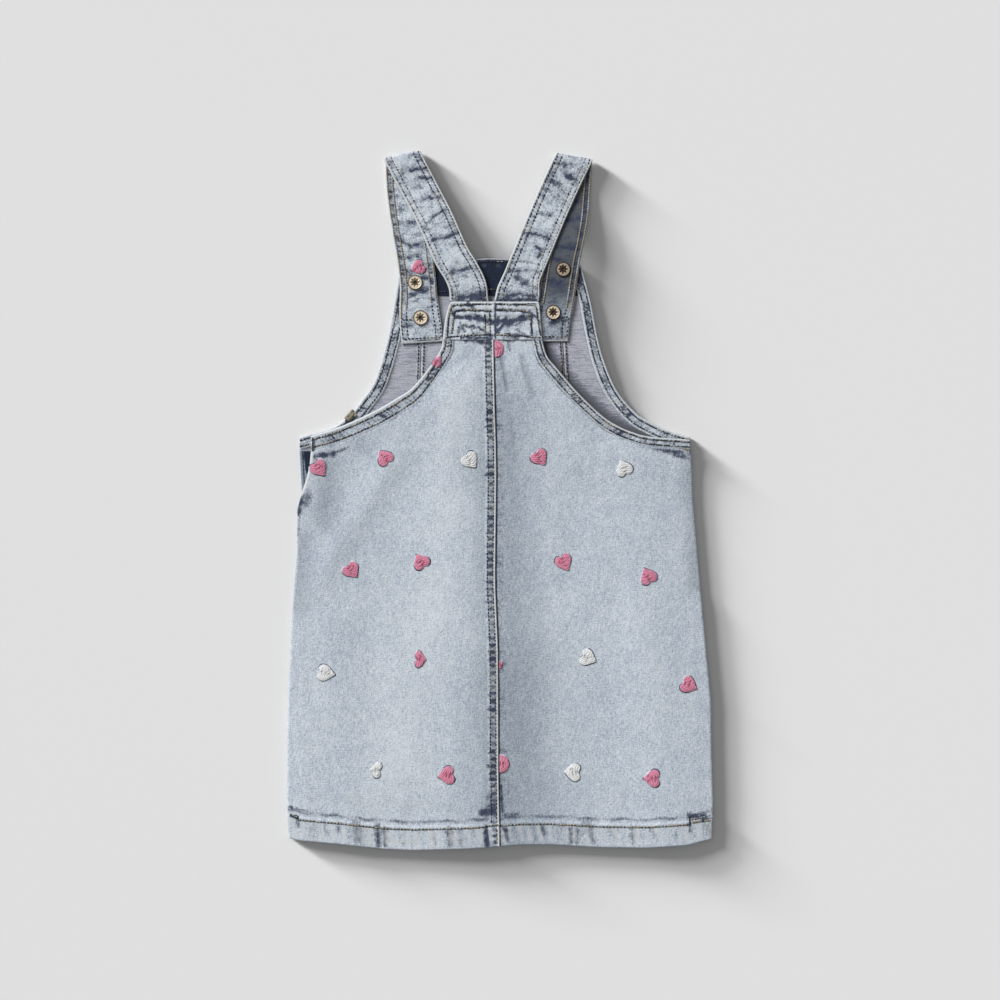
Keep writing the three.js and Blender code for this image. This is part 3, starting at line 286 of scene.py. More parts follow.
# On the outer face of the straps, down the back leg, with painted shadow at the root along the yoke's top
# edge
STRAP_DYE_AND_SHADE = {
    "left": (
        (-68.5, 257.9, -59.4, 260, 0.9, 0.8), (-79.8, 257.6, -70.1, 258.4, 0.6, 0.4),
        (-73.9, 244.4, -65.8, 246.6, 1.3, 0.9), (-65.8, 246.6, -54.5, 248.7, 1.3, 0.9),
        (-61, 241.4, -50.7, 240.5, 1.1, 1), (-82.2, 254.7, -80.5, 249.3, 1, 0.6),
        (-56.1, 225.6, -44.3, 226.6, 1.1, 0.9), (-65.8, 232.6, -60.4, 235.3, 1.5, 0.5),
        (-50.7, 211, -40.5, 217.5, 1.2, 0.9), (-54.5, 205.6, -50.7, 211, 1, 0.6),
        (-49.7, 206.7, -41, 203.5, 0.8, 0.4), (-58.3, 204, -54, 202.2, 1.1, 0.8),
        (-50.7, 194.3, -41, 196.1, 1.3, 0.9), (-41, 196.1, -31.3, 200.2, 1.2, 1),
        (-35.7, 190.3, -27.9, 192.2, 1, 0.6), (-48.6, 189.5, -42.1, 192.2, 0.9, 0.4),
        (-37.8, 169.8, -31.3, 170.9, 1.7, 0.9), (-31.3, 170.9, -22.7, 173.5, 1.7, 0.9),
        (-31.3, 167.9, -24.9, 166.8, 1.3, 0.5), (-33, 166.3, -31.3, 157.7, 1, 0.35),
        (-22.7, 180.8, -17.3, 171.1, 1.1, 0.5), (-33, 150.8, -20.6, 152.2, 1.9, 1.2),
        (-20.6, 151.7, -8.7, 153.7, 2.8, 1.3), (-20.6, 150.1, -8.7, 150.7, 1.8, 1.3),
        (-59.4, 217.5, -57.2, 213.2, 0.9, 0.4), (-72.3, 231.5, -68.5, 228.3, 1.1, 0.35),
        (-46.4, 181.9, -44.3, 174.4, 1.1, 0.3), (-38.9, 160.4, -34.6, 155, 0.9, 0.4),
    ),
    "right": (
        (38.1, 252.2, 53.2, 250.7, 1.6, 0.9), (43, 258.6, 58.1, 257.1, 0.9, 0.5),
        (34.9, 241.7, 41.4, 245.3, 1.5, 0.7), (34.4, 239.6, 43, 236.3, 2.2, 0.8),
        (30.6, 233.1, 37.6, 231.5, 1.7, 0.8), (47.8, 243.5, 57, 239.2, 1.7, 1),
        (51.1, 237.4, 55.9, 235.6, 0.9, 0.6), (41.9, 235.8, 49.4, 228.2, 1.5, 0.5),
        (37.6, 227.7, 48.4, 224.1, 1.5, 0.6), (27.9, 214.4, 38.1, 212.5, 1.1, 0.7),
        (16.9, 200.4, 26.8, 198.6, 1.1, 1), (26.8, 198.6, 36.7, 195.7, 1, 1),
        (26.6, 189.4, 30.6, 186.2, 1, 0.9), (30.6, 186.2, 28.4, 181.3, 1, 0.9),
        (19.3, 190.3, 25.7, 191.8, 0.6, 0.5), (11.7, 178.4, 23.6, 177.4, 1.1, 0.6),
        (4.7, 172, 14.4, 170.9, 1.3, 1), (14.4, 170.9, 23.6, 172, 0.9, 0.4),
        (23.6, 170.9, 31.7, 170.2, 1.1, 0.7), (12.3, 166.2, 18.7, 161.4, 2.2, 0.9),
        (18.7, 161.4, 27.9, 157.6, 1.7, 0.5), (3.1, 151.7, 13.9, 153.9, 1.4, 1.2),
        (13.9, 153.9, 27.9, 151.2, 1.4, 1.1), (-2.8, 149.6, 27.9, 149.6, 1.1, 1.2),
        (61.3, 255.7, 58.1, 243.3, 1, 0.45), (52.7, 203.4, 46.2, 194.8, 0.6, 0.3),
        (21.4, 207.8, 24.7, 203.4, 0.9, 0.35), (8.5, 160.3, 3.1, 156, 1.1, 0.4),
    ),
}
# On their inner face, down the front leg
INNER_DYE = {
    "left": (
        (-81.5, 226.1, -71.2, 227.7, 2.2, 0.55), (-77.7, 216.4, -70.1, 220.7, 1.7, 0.4),
        (-75.5, 207.2, -61.5, 207.8, 1.9, 0.65), (-75, 193.8, -66.9, 189.7, 1.4, 0.95),
        (-66.9, 189.7, -58.8, 191.8, 1.3, 0.9), (-65.8, 197.9, -59.4, 199.2, 1.3, 0.6),
        (-71.2, 180.3, -60.4, 183.5, 1.7, 0.8), (-71.2, 172.2, -66.9, 168.4, 1.9, 0.7),
        (-68.5, 151.5, -54, 157.1, 1.3, 0.9), (-58.3, 166.3, -50.2, 164.1, 1.3, 0.9),
        (-58.3, 174.4, -54, 172.2, 1.3, 0.8), (-65.8, 236.9, -75.5, 231.5, 1.1, 0.3),
        (-72.4, 129.6, -66.1, 130.5, 1.4, 0.8), (-62, 118.5, -46.1, 119.3, 1, 0.9),
        (-68.2, 147.5, -63.4, 148.9, 1.1, 0.5), (-56.5, 143.4, -47.5, 144.8, 1.1, 0.4),
        (-68.9, 153.3, -57.2, 156.8, 1.2, 0.8), (-72.4, 120.2, -64.1, 118.5, 0.8, 0.5),
    ),
    "right": (
        (55.9, 222.6, 62.4, 223.7, 1.5, 0.6), (48.4, 209.4, 59.2, 211, 1.7, 0.8),
        (52.7, 217.5, 61.3, 216.4, 1.3, 0.4), (44.1, 194.8, 50.5, 195.9, 1.3, 0.5),
        (43.5, 189.2, 57.5, 187.8, 1.9, 0.95), (39.7, 180.6, 49.4, 178.4, 1.5, 0.8),
        (34.9, 163.3, 44.6, 162.3, 2.2, 0.95), (39.7, 154.7, 52.7, 155.8, 1.1, 0.5),
        (57, 203.4, 61.3, 199.1, 1.5, 0.7), (38.4, 132.6, 49.1, 134, 1.5, 0.9),
        (46.3, 133.3, 46.3, 122.2, 1.1, 0.8), (33.6, 120.2, 48.8, 119.1, 1, 0.8),
        (40.5, 154.7, 48.8, 156.1, 1.1, 0.4), (35, 146.4, 41.9, 147.8, 1.1, 0.5),
    ),
}

# Runs of the hem's topstitching: from x, to x, how far it is stepped up
HEM_RUNS = (
    (-158.4, -151.8, 2.6), (-151.2, -12, 0), (-12, 0.2, 0.9), (2.6, 141.2, 0), (142.4, 157.6, 2.6),
)
# Bar tacks on the back: from x, y to x, y, width, thread colours
BARS = (
    (-151.6, -236.6, -151.2, -240.4, 1.3, (0,)), (141.6, -237.0, 142.0, -243.6, 1.4, (0,)),
    (143.4, -241.4, 157.0, -240.0, 1.5, (1, 0, 1)), (-140.3, 46.4, -140.5, 36.6, 1.5, (1, 0, 1)),
    (-157.6, -236.4, -152.2, -238.2, 1.3, (0, 2)), (136.6, 38.4, 142.0, 37.4, 1.4, (0, 1)),
)
STITCH_FLOOR = 0.75              # lowest middle of a stitch, so that none stands out below
# How far folds turned from the light, and other places given painted shade, go towards the shade colour
SHADE_SHARE = -0.21
# The bib's side edges end at this height, and the facing stays this far inside its top edge
BIB_END, FACING_INSET = 176, 0.6
# Yoke: middle seam, and how far its face is sunk so that the relief stands on it
YOKE_MIDDLE, YOKE_SINK = -5.2, 0.2
# Bar tacks on the front's left binding: start x, y, end x, rise of the path, then the offset of each
TACK_START, TACK_END, TACK_SLOPE = (-115.8, 58.2), -109.4, 1.1
TACK_OFFSETS = ((0, 0), (1.6, -1.4), (-0.6, 2.2))
# Points along a strap's leg, and round its fold
LEG_POINTS, FOLD_POINTS = 150, 14

# Stage: floor, view height and far end in metres, turns in degrees. VIEW_CENTRE is a place in the drawing,
# LENS and SENSOR are millimetres. Low lights: name, share of the strength, degrees wider and higher
FLOOR_REACH, FLOOR_LEVEL = 4.0, -0.0004
KEY_TURN, LOW_TURN = 225, 236
LOW_LIGHTS = (("low_window", 1.0, 0, 0), ("side_window", 0.62, 10, 6))
VIEW_CENTRE, VIEW_HEIGHT = -0.19, 3.0
LENS, SENSOR, FAR_END = 144.0, 36.0, 20.0

# Places of the topstitch rows
LAP_ROWS = (2.1, 6.2)            # from the lap's edge
HEM_ROW = 15.6                   # above the hem's lower edge
BINDING_ROWS = (0.26, 0.74)      # share of the binding's width
STRAP_ROWS = (2.0, 5.7)          # from the strap's edges, outer face
INNER_ROWS = (1.2, 5.2)          # the same, inner face


# Curves, ramps and uneven waves
def smooth(low, high, value):
    t = np.clip((np.asarray(value, float) - low) / (high - low), 0, 1)
    return t * t * (3 - 2 * t)


def fall(low, high, value):
    return 1 - smooth(low, high, value)


def bump(away, width):
    return np.exp(-(away / width) ** 2)


def cos_sin(degrees):
    return math.cos(math.radians(degrees)), math.sin(math.radians(degrees))


def look_up(table, value):
    rows = sorted(table)
    return np.interp(value, [r[0] for r in rows], [r[1] for r in rows])


def along(values, s):
    """Catmull-Rom curve through the values, at row numbers s."""
    values = np.asarray(values, float)
    s = np.asarray(s, float)
    last = len(values) - 1
    ends = np.concatenate([[2 * values[0] - values[1]], values, [2 * values[-1] - values[-2]]])
    i = np.clip(np.floor(s).astype(int), 0, last - 1)
    t = s - i
    a, b, c, d = (ends[i + k] for k in range(4))
    return b + t * ((c - a) / 2 + t * (a - 2.5 * b + 2 * c - 0.5 * d + t * (1.5 * (b - c) + 0.5 * (d - a))))


def wander(s, seed, period):
    """Smooth uneven wave of about -1 to 1 with waves of about the given length."""
    dice = np.random.default_rng(seed)
    phases = dice.uniform(0, 2 * math.pi, 5)
    rates = dice.uniform(0.55, 1.7, 5)
    s = np.asarray(s, float)
    return sum(np.sin(2 * math.pi * s / period * r + p) for r, p in zip(rates, phases)) * 0.36


def puckers(s, seed, pitch):
    """Pull of the stitching: 0 on the swells and up to 1 in the dips, uneven in spacing and depth."""
    dips = 0.5 - 0.5 * np.cos(2 * math.pi * (s / pitch + 0.45 * wander(s, seed, pitch * 4)))
    return dips ** 1.5 * np.clip(0.65 + 0.5 * wander(s, seed + 1, pitch * 3), 0, 1.2)


def from_stroke(x, y, x1, y1, x2, y2):
    """Squared distance from a stroke, and how far along it the nearest place is."""
    dx, dy = x2 - x1, y2 - y1
    t = np.clip(((x - x1) * dx + (y - y1) * dy) / (dx * dx + dy * dy), 0, 1)
    return (x - x1 - t * dx) ** 2 + (y - y1 - t * dy) ** 2, t * math.hypot(dx, dy)


def strokes(x, y, table, fray=0.35):
    """Soft strokes of the table, the strongest at each point. fray is how far their outline strays."""
    x = x + fray * wander(0.7 * x + y, 61, 9)
    y = y + fray * wander(x - 0.6 * y, 62, 8)
    total = np.zeros(np.shape(x))
    for k, (*ends, half, strength) in enumerate(table):
        off, run = from_stroke(x, y, *ends)
        wide = 1.2 * half * np.clip(1 + 0.3 * wander(run, 63 + k, 9), 0.6, 1.4)
        power = strength * np.clip(1 + 0.2 * wander(run, 163 + k, 8), 0.6, 1.1)
        total = np.maximum(total, power * np.exp(-(off / wide ** 2) ** 1.2))
    return total


def swells(x, y, table):
    """Broad soft strokes of the table, the strongest at each point."""
    total = np.zeros(np.shape(x))
    for *ends, half, strength in table:
        total = np.maximum(total, strength * np.exp(-from_stroke(x, y, *ends)[0] / half ** 2))
    return total


def dye_and_shade_marks(x, y, table):
    """Strokes of dye with a haze round them."""
    haze = [(*ends, 2.2 * half + 0.8, 0.5 * strength) for *ends, half, strength in table]
    return np.maximum(strokes(x, y, table, 0.5), swells(x, y, haze))


def drape_and_painted_light(x, y):
    """How far the cloth turns to the light (above 0) or away from it (below 0)."""
    x = x + 1.5 * wander(y, 65, 120)
    lit = swells(x, y, LIT_FOLDS)
    return lit - swells(x, y, SHADED_FOLDS) * (1 - 0.5 * lit)


def band(low, high, value, soft=0.5):
    """1 between low and high and 0 outside them, with soft edges."""
    return smooth(low - soft, low + soft, value) * fall(high - soft, high + soft, value)


def hem_at(x):
    return look_up(HEM_LINE, x)


def seam_at(y):
    return look_up(CENTRE_SEAM, y)


# Heights of the cloth
def front_floor(x, y):
    return BIB_RISE * smooth(55, 105, y) + 0 * x


def near_line(table, x, y, width):
    """1 on the band of the given width along a seam, 0 beside it."""
    return fall(width / 2 - 0.3, width / 2 + 0.3, np.abs(x - look_up(table, y)))


def hem_share(x, y):
    return fall(HEM_DEPTH - 0.4, HEM_DEPTH + 0.4, y - hem_at(x))


def front_wall(x, y):
    raised = np.maximum(*(near_line(t, x, y, BAND_WIDTH) for t in (FRONT_SEAM_LEFT, FRONT_SEAM_RIGHT)))
    raised = raised * fall(FACING_BOTTOM - 14, FACING_BOTTOM - 2, y)
    return CLOTH + (SEAM_WALL - CLOTH) * raised + (HEM_WALL - CLOTH) * hem_share(x, y)


def ridges(x, y, table, fade):
    """Heights of long folds that fade out beyond their ends."""
    total = np.zeros(np.shape(x))
    for x1, y1, x2, y2, half, rise in table:
        dx, dy = x2 - x1, y2 - y1
        length = math.hypot(dx, dy)
        run = ((x - x1) * dx + (y - y1) * dy) / length
        off = ((x - x1) * dy - (y - y1) * dx) / length
        ends = smooth(-fade, 0, run) * fall(length, length + fade, run)
        total = total + rise * ends * bump(off, half)
    return total


def from_sides(x, y):
    return np.minimum(x - look_up(LEFT_SIDE, y), look_up(RIGHT_SIDE, y) - x)


def back_floor(x, y):
    inset = from_sides(x, y)
    hem = (HEM_WALL - CLOTH) * fall(HEM_DEPTH, HEM_DEPTH + 14, y - hem_at(x))
    rest = CLOTH + EDGE_REST + (BACK_REST - EDGE_REST) * smooth(0, 12, inset) + hem
    lift = smooth(0, PANEL_TOP, y) * (1 - 0.45 * smooth(60, 140, np.abs(x + 6)))
    placket = 0.9 * smooth(-124, -136, x) * smooth(-16, 2, y) * fall(50, 70, y)
    fold = ridges(x, y, FOLDS, FOLD_FADE) * smooth(0, 30, inset) * fall(70, PANEL_TOP, y)
    return rest + fold + placket + lift * (PANEL_FLOOR - CLOTH - BACK_REST)


def lap_share(x, y):
    d = seam_at(y) - x
    return np.where(d < -0.1, 0.0, fall(LAP_WIDTH - 0.3, LAP_WIDTH + 0.3, d))


def back_wall(x, y):
    return CLOTH + (LAP_WALL - CLOTH) * lap_share(x, y) + (HEM_WALL - CLOTH) * hem_share(x, y)


def back_crease(x, y):
    return ridges(x, y, CREASES, 9) * smooth(0, 10, from_sides(x, y))


def seam_pull(y):
    return puckers(y, 11, 5.6)


def hem_pull(x):
    return puckers(x, 23, 8.5)


def back_relief(x, y):
    """Pulls of the stitching and the rolled edges, on top of the cloth's own form."""
    d = seam_at(y) - x
    up = y - hem_at(x)
    on_left = d > -0.05
    pull = seam_pull(y)
    roll = 0.3 * fall(0.8, 1.6, d) - 0.16 * sum(bump(d - k, 0.5) for k in LAP_ROWS)
    lap = np.where(
        on_left, roll - 0.32 * pull * band(1.7, 10, d, 2.2), -0.26 * pull * fall(2, 10, -d))
    row = -0.16 * bump(up - HEM_ROW, 0.6)
    edge = 0.22 * bump(up - HEM_DEPTH + 0.5, 1.0)
    slant = hem_pull(x + 0.45 * up)
    row = row + 1.3 * (1 + 0.7 * drape_and_painted_light(x, y)) * smooth(4, 40, up) * smooth(3, 26, PANEL_TOP - y)
    hem = 0.28 * slant * band(1.5, HEM_ROW, up, 2.5)
    return lap + row + edge - hem - 0.12 * hem_pull(x) * band(19, 27, up, 3)


def back_surface(x, y):
    return back_floor(x, y) + back_wall(x, y) + back_crease(x, y) + back_relief(x, y)


def strap_floor(y):
    """Underside of a strap's front leg. strap_back_floor is that of the leg above it."""
    rise = STRAP_REST * fall(181, 235, y)
    return rise - (STRAP_REST - STRAP_END_REST) * fall(STRAP_END, STRAP_BEND, y)


def strap_back_floor(y):
    return FOLD_FLOOR + (ROOT_FLOOR - FOLD_FLOOR) * fall(180, 242, y)


# Armholes and edges of the panels
def arm_stations(table, count):
    s = np.linspace(0, len(table) - 1, count)
    return np.stack([along([row[k] for row in table], s) for k in range(4)], 1)


def panel_edge(table):
    """Edge of the panel beside a binding, moved away from it by the seam clearance."""
    p = arm_stations(table, 73)
    run = np.gradient(p[:, 2:], axis=0)
    normal = np.stack([-run[:, 1], run[:, 0]], 1)
    normal /= np.linalg.norm(normal, axis=1, keepdims=True)
    normal *= np.sign(np.sum(normal * (p[:, 2:] - p[:, :2]), 1, keepdims=True))
    return p[:, 2:] + normal * SEAM_GAP


def edge_line(edge, side):
    """x of a panel's outer edge at a height: the armhole, and the side seam below its foot."""
    order = np.argsort(edge[:, 1])
    foot = edge[:, 1].min()
    return lambda y: np.where(y > foot, np.interp(y, edge[order, 1], edge[order, 0]), look_up(side, y))


def skirt_levels(top, hem_step, step):
    """Rows of a panel from the hem up: y and the share of the hem's curve that the row follows."""
    base = float(hem_at(0))
    start = base + HEM_DEPTH + 14
    low = np.arange(base, start - 0.5 * hem_step, hem_step)
    even = np.arange(start, top - 0.5 * step, step)
    return np.concatenate([
        np.stack([low, np.ones_like(low)], 1),
        np.stack([even, fall(start, start + 50, even)], 1),
    ])


def arm_levels(low, high, step):
    y = np.linspace(low, high, int(round((high - low) / step)) + 1)
    return np.stack([y, np.zeros_like(y)], 1)


def panel_grid(levels, low, high, count, near=0.0, step=1.0):
    """x and y of a panel's points: even columns from the low edge, then fixed steps over the last
    near millimetres before the high edge. Low and high are lines of x by y."""
    y = levels[:, 0]
    a, b = low(y)[:, None], high(y)[:, None]
    sign = np.sign(b - a)
    fixed = np.arange(round(near / step), -1, -1) * step
    even = np.linspace(0, 1, count, endpoint=False)
    x = np.hstack([a + (b - sign * near - a) * even, b - sign * fixed])
    if sign.flat[0] < 0:
        x = x[:, ::-1]
    drop = levels[:, 1:] * (hem_at(x) - hem_at(0))
    return x, y[:, None] + drop


# Meshes
def place(points):
    return (np.asarray(points, float) + SHIFT) * MM


def add_mesh(name, points, faces, finishes, picks=None, data=None):
    """Adds a smooth-shaded mesh from points in mm, with one finish number a face and values a point."""
    mesh = bpy.data.meshes.new(name)
    mesh.from_pydata(place(points).tolist(), [], faces)
    for finish in finishes:
        mesh.materials.append(finish)
    if picks is not None:
        mesh.polygons.foreach_set("material_index", np.asarray(picks, np.int32))
    mesh.polygons.foreach_set("use_smooth", np.ones(len(faces), bool))
    for key, values in (data or {}).items():
        values = np.asarray(values, np.float32)
        vector = values.ndim == 2
        layer = mesh.attributes.new(key, "FLOAT_VECTOR" if vector else "FLOAT", "POINT")
        layer.data.foreach_set("vector" if vector else "value", values.ravel())
    mesh.validate()
    mesh.update()
    piece = bpy.data.objects.new(name, mesh)
    bpy.context.scene.collection.objects.link(piece)
    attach(piece, "root")
    return piece


def unit(vectors):
    return vectors / np.maximum(np.linalg.norm(vectors, axis=-1, keepdims=True), 1e-9)


def outward(grid):
    """Directions away from the sheet along its rim, and zero inside it."""
    away = np.zeros_like(grid)
    away[:, 0] += unit(grid[:, 0] - grid[:, 1])
    away[:, -1] += unit(grid[:, -1] - grid[:, -2])
    away[0] += unit(grid[0] - grid[1])
    away[-1] += unit(grid[-1] - grid[-2])
    return unit(away)


def grid_faces(rows, columns, start=0):
    index = np.arange(rows * columns).reshape(rows, columns) + start
    return np.stack([index[:-1, :-1], index[:-1, 1:], index[1:, 1:], index[1:, :-1]], -1).reshape(-1, 4)


def ring_faces(rings, count):
    """Faces between closed rings, with the numbers of the points and of their neighbours along the ring."""
    index = np.arange(rings * count).reshape(rings, count)
    after = np.roll(index, -1, 1)
    return np.stack([index[:-1], after[:-1], after[1:], index[1:]], -1).reshape(-1, 4).tolist(), index, after


def signed_volume(points, faces):
    a, b, c, d = (points[faces[:, k]] for k in range(4))
    return np.sum(a * np.cross(b, c)) + np.sum(a * np.cross(c, d))


def cloth_shell(name, top, bottom, cloth, masks, finishes, wall):
    """Closed sheet with a rounded rim. top and bottom are grids of points, cloth the grid of places
    in the flat cloth, masks grids of values for each face: (top values, bottom values)."""
    rows, columns = top.shape[:2]
    count = rows * columns
    away = outward(top)
    down = unit(bottom - top)
    middle = (top + bottom) / 2
    pull = np.zeros((rows, columns, 1))
    pull[0], pull[-1], pull[:, 0], pull[:, -1] = 1, 1, 1, 1
    top = top + pull * (down * 0.16 - away * 0.22) * wall
    bottom = bottom - pull * (down * 0.16 + away * 0.22) * wall
    index = np.arange(count).reshape(rows, columns)
    rim = np.concatenate([index[0], index[1:, -1], index[-1, -2::-1], index[-2:0:-1, 0]])
    ring = 2 * count + np.arange(len(rim))
    near, far = np.roll(rim, -1), np.roll(ring, -1)
    upper = grid_faces(rows, columns)
    lower = upper[:, ::-1] + count
    sides = np.concatenate([
        np.stack([rim, ring, far, near], 1), np.stack([ring, rim + count, near + count, far], 1),
    ])
    points = np.concatenate([top.reshape(-1, 3), bottom.reshape(-1, 3), middle.reshape(-1, 3)[rim]])
    points[:, 2] = np.maximum(points[:, 2], 0)
    faces = np.concatenate([upper, lower, sides])
    if signed_volume(points, faces) < 0:
        faces = faces[:, ::-1]
    flat = np.zeros((rows, columns, 3))
    flat[..., :2] = cloth
    flat = flat.reshape(-1, 3)
    data = {"cloth": np.concatenate([flat, flat, flat[rim]])}
    for key, (over, under) in masks.items():
        over, under = (np.broadcast_to(v, (rows, columns)).ravel() for v in (over, under))
        data[key] = np.concatenate([over, under, over[rim]])
    picks = np.repeat([0, len(finishes) - 1, 0], [len(upper), len(lower), len(sides)])
    return add_mesh(name, points, faces.tolist(), finishes, picks, data)


def stack(x, y, z):
    return np.stack([x, y, z + 0 * x], -1)


# Shader building
class Value:
    """A shader socket that Python expressions can be written with."""

    def __init__(self, finish, socket):
        self.finish = finish
        self.socket = socket

    def math(self, operation, *values, clamp=False):
        sockets = dict(enumerate(values))
        return self.finish.node("ShaderNodeMath", {"operation": operation, "use_clamp": clamp}, sockets)

    def __add__(self, other):
        return self.math("ADD", self, other)

    def __sub__(self, other):
        return self.math("SUBTRACT", self, other)

    def __mul__(self, other):
        return self.math("MULTIPLY", self, other)

    __radd__ = __add__

    def clamp(self):
        return self.math("ADD", self, 0.0, clamp=True)

    def ramp(self, low, high):
        """0 below low and 1 above high, with a straight rise between."""
        return self.math("MULTIPLY", self - low, 1 / (high - low), clamp=True)


class Finish:
    """A procedural material in the making."""

    def __init__(self, name):
        self.material = bpy.data.materials.new(name)
        self.material.use_nodes = True
        self.tree = self.material.node_tree
        self.tree.nodes.clear()
        self.flat = None

    def node(self, kind, settings=None, sockets=None, output=0):
        made = self.tree.nodes.new(kind)
        for key, value in (settings or {}).items():
            setattr(made, key, value)
        for key, value in (sockets or {}).items():
            if isinstance(key, str):
                key = next(i for i, s in enumerate(made.inputs) if key in (s.identifier, s.name))
            if isinstance(value, Value):
                self.tree.links.new(value.socket, made.inputs[key])
            else:
                made.inputs[key].default_value = value
        if isinstance(output, str):
            output = next(i for i, s in enumerate(made.outputs) if output in (s.identifier, s.name))
        return Value(self, made.outputs[output]) if len(made.outputs) else None

    def mask(self, name):
        return self.node("ShaderNodeAttribute", {"attribute_name": name}, output="Fac")

    def grain(self, across, down, detail, seed):
        """Noise about 0 over the flat cloth, whose spots are about across by down millimetres."""
        if self.flat is None:
            self.flat = self.node("ShaderNodeAttribute", {"attribute_name": "cloth"}, output="Vector")
        scaled = self.node(
            "ShaderNodeVectorMath", {"operation": "MULTIPLY"}, {0: self.flat, 1: (1 / across, 1 / down, 1.0)})
        moved = self.node(
            "ShaderNodeVectorMath", {"operation": "ADD"}, {0: scaled, 1: (seed, seed * 1.7, seed)})
        noise = self.node("ShaderNodeTexNoise", None, {"Vector": moved, "Scale": 1.0, "Detail": detail})
        return noise - 0.5

    def mix(self, factor, first, second):
        colours = [c if isinstance(c, Value) else (*c[:3], 1.0) for c in (first, second)]
        sockets = {"Factor_Float": factor, "A_Color": colours[0], "B_Color": colours[1]}
        return self.node("ShaderNodeMix", {"data_type": "RGBA"}, sockets, "Result_Color")

    def surface(self, colour, roughness, height=None, depth=0.0, constants=None):
        """Ends the material in a shader. depth is what a height of 1 means in millimetres."""
        sockets = {"Base Color": colour, "Roughness": roughness, **(constants or {})}
        if height is not None:
            bumps = {"Height": height, "Distance": depth * MM}
            sockets["Normal"] = self.node("ShaderNodeBump", None, bumps)
        shader = self.node("ShaderNodeBsdfPrincipled", None, sockets)
        self.node("ShaderNodeOutputMaterial", None, {"Surface": shader})
        return self.material


def denim_finish(name, settings, fade=0.0, mottle=1.0, marble=0.0, bleed=0.0):
    """Right side of the washed twill.

    fade darkens it, mottle scales its cloudiness, marble its dark veins and bleed softens its dye marks.
    """
    finish = Finish(name)
    cloud, patch, warp, weft, speck = (finish.grain(*row) for row in (
        (34, 52, 2.0, 3.1), (6, 8, 4.0, 7.7), (0.8, 3.0, 2.0, 1.3), (2.4, 0.8, 2.0, 5.9),
        (1.1, 1.2, 3.0, 9.2),
    ))
    tone = 0.44 + fade + cloud * 0.4 + patch * 0.55 * mottle + warp * 1.2 + weft * 1.3 + speck * 1.1
    # Painted light and shade from the drape mask: lighter tone where it is above 0, and towards the shade
    # colour where it is below 0
    turned = finish.mask("drape_and_painted_light")
    tone = tone - turned * 0.2
    colour = finish.mix(tone.clamp(), settings.bleached, settings.washed)
    colour = finish.mix((turned * SHADE_SHARE).clamp(), colour, settings.shade)
    # The dye mask holds indigo and painted shade
    dye_and_painted_shade = finish.mask("indigo_and_painted_shade")
    if marble:
        vein = finish.grain(5.0, 2.6, 4.0, 14.4)
        dye_and_painted_shade = dye_and_painted_shade + (vein * 1.5 + speck * 0.3 + patch * 0.7).ramp(-0.06, 0.5) * marble
    grain = speck * (0.75 + bleed) + (warp + weft) * (0.45 + 0.5 * bleed)
    grainy = (dye_and_painted_shade * 1.2 + grain - 0.06).ramp(0.12 - 0.3 * bleed, 0.96 + bleed)
    colour = finish.mix(grainy * 0.96, colour, settings.indigo_and_painted_shade)
    worn = (finish.mask("worn") + speck * 0.7 + patch * 0.4).ramp(0.32, 0.85)
    colour = finish.mix(worn * 0.9, colour, settings.abraded)
    height = warp * 0.6 + weft * 0.7 + speck * 0.4 + patch * 1.1
    return finish.surface(colour, 0.92, height, 0.26, {"Sheen Weight": 0.1, "Sheen Roughness": 0.5})


def inside_finish(name, settings):
    """Wrong side of the twill: pale, lilac-grey, with the weft on top."""
    finish = Finish(name)
    cloud, weft, warp, speck = (finish.grain(*row) for row in (
        (26, 30, 2.0, 2.2), (7, 0.8, 2.0, 4.4), (0.9, 5, 2.0, 8.8), (1.2, 1.1, 2.0, 6.1),
    ))
    # Painted light and shade from the drape mask, as on the right side
    turned = finish.mask("drape_and_painted_light")
    tone = 0.42 + cloud * 0.9 + weft * 2.4 + warp * 0.6 + speck * 1.6 - turned * 0.3
    colour = finish.mix(tone.clamp(), settings.inside_pale, settings.inside_deep)
    colour = finish.mix((turned * SHADE_SHARE).clamp(), colour, settings.shade)
    dye_and_painted_shade = (finish.mask("indigo_and_painted_shade") + speck * 0.9 + weft * 0.4).ramp(0.24, 0.76)
    colour = finish.mix(dye_and_painted_shade * 0.9, colour, settings.indigo_and_painted_shade)
    worn = (finish.mask("worn") + speck * 0.4).ramp(0.35, 0.85)
    colour = finish.mix(worn * 0.8, colour, settings.abraded)
    return finish.surface(colour, 0.93, weft * 1.1 + speck * 0.6, 0.2, {"Sheen Weight": 0.1})


def dark_finish(name, settings):
    """Indigo side of the cloth that the wash did not reach."""
    finish = Finish(name)
    cloud, weft, speck = (finish.grain(*row) for row in (
        (9, 12, 3.0, 1.9), (3, 0.9, 2.0, 3.7), (1.1, 1.1, 2.0, 5.3),
    ))
    tone = 0.88 + cloud * 1.6 + weft * 1.4 + speck * 2.0
    colour = finish.mix(tone.clamp(), settings.indigo_and_painted_shade, settings.dull_indigo)
    worn = (finish.mask("worn") + speck * 0.9).ramp(0.35, 0.95)
    colour = finish.mix(worn * 0.7, colour, settings.washed)
    return finish.surface(colour, 0.95, weft + speck * 0.6, 0.2, {"Specular IOR Level": 0.2})


def thread_finish(name, colour, shade=(0.55, 0.55, 0.55)):
    """Spun thread, darker where it dips."""
    finish = Finish(name)
    ply, tuft = (finish.grain(*row) for row in ((0.35, 1.2, 1.0, 2.5), (1.6, 1.6, 2.0, 6.6)))
    # Colour of the painted shade in the dips
    deep = tuple(c * k for c, k in zip(colour[:3], shade))
    dip = (finish.mask("indigo_and_painted_shade") + tuft * 1.1 + ply * 0.7 + 0.1).clamp()
    return finish.surface(
        finish.mix(dip, colour, deep), 0.85, ply + tuft, 0.15, {"Sheen Weight": 0.2, "Sheen Roughness": 0.5})


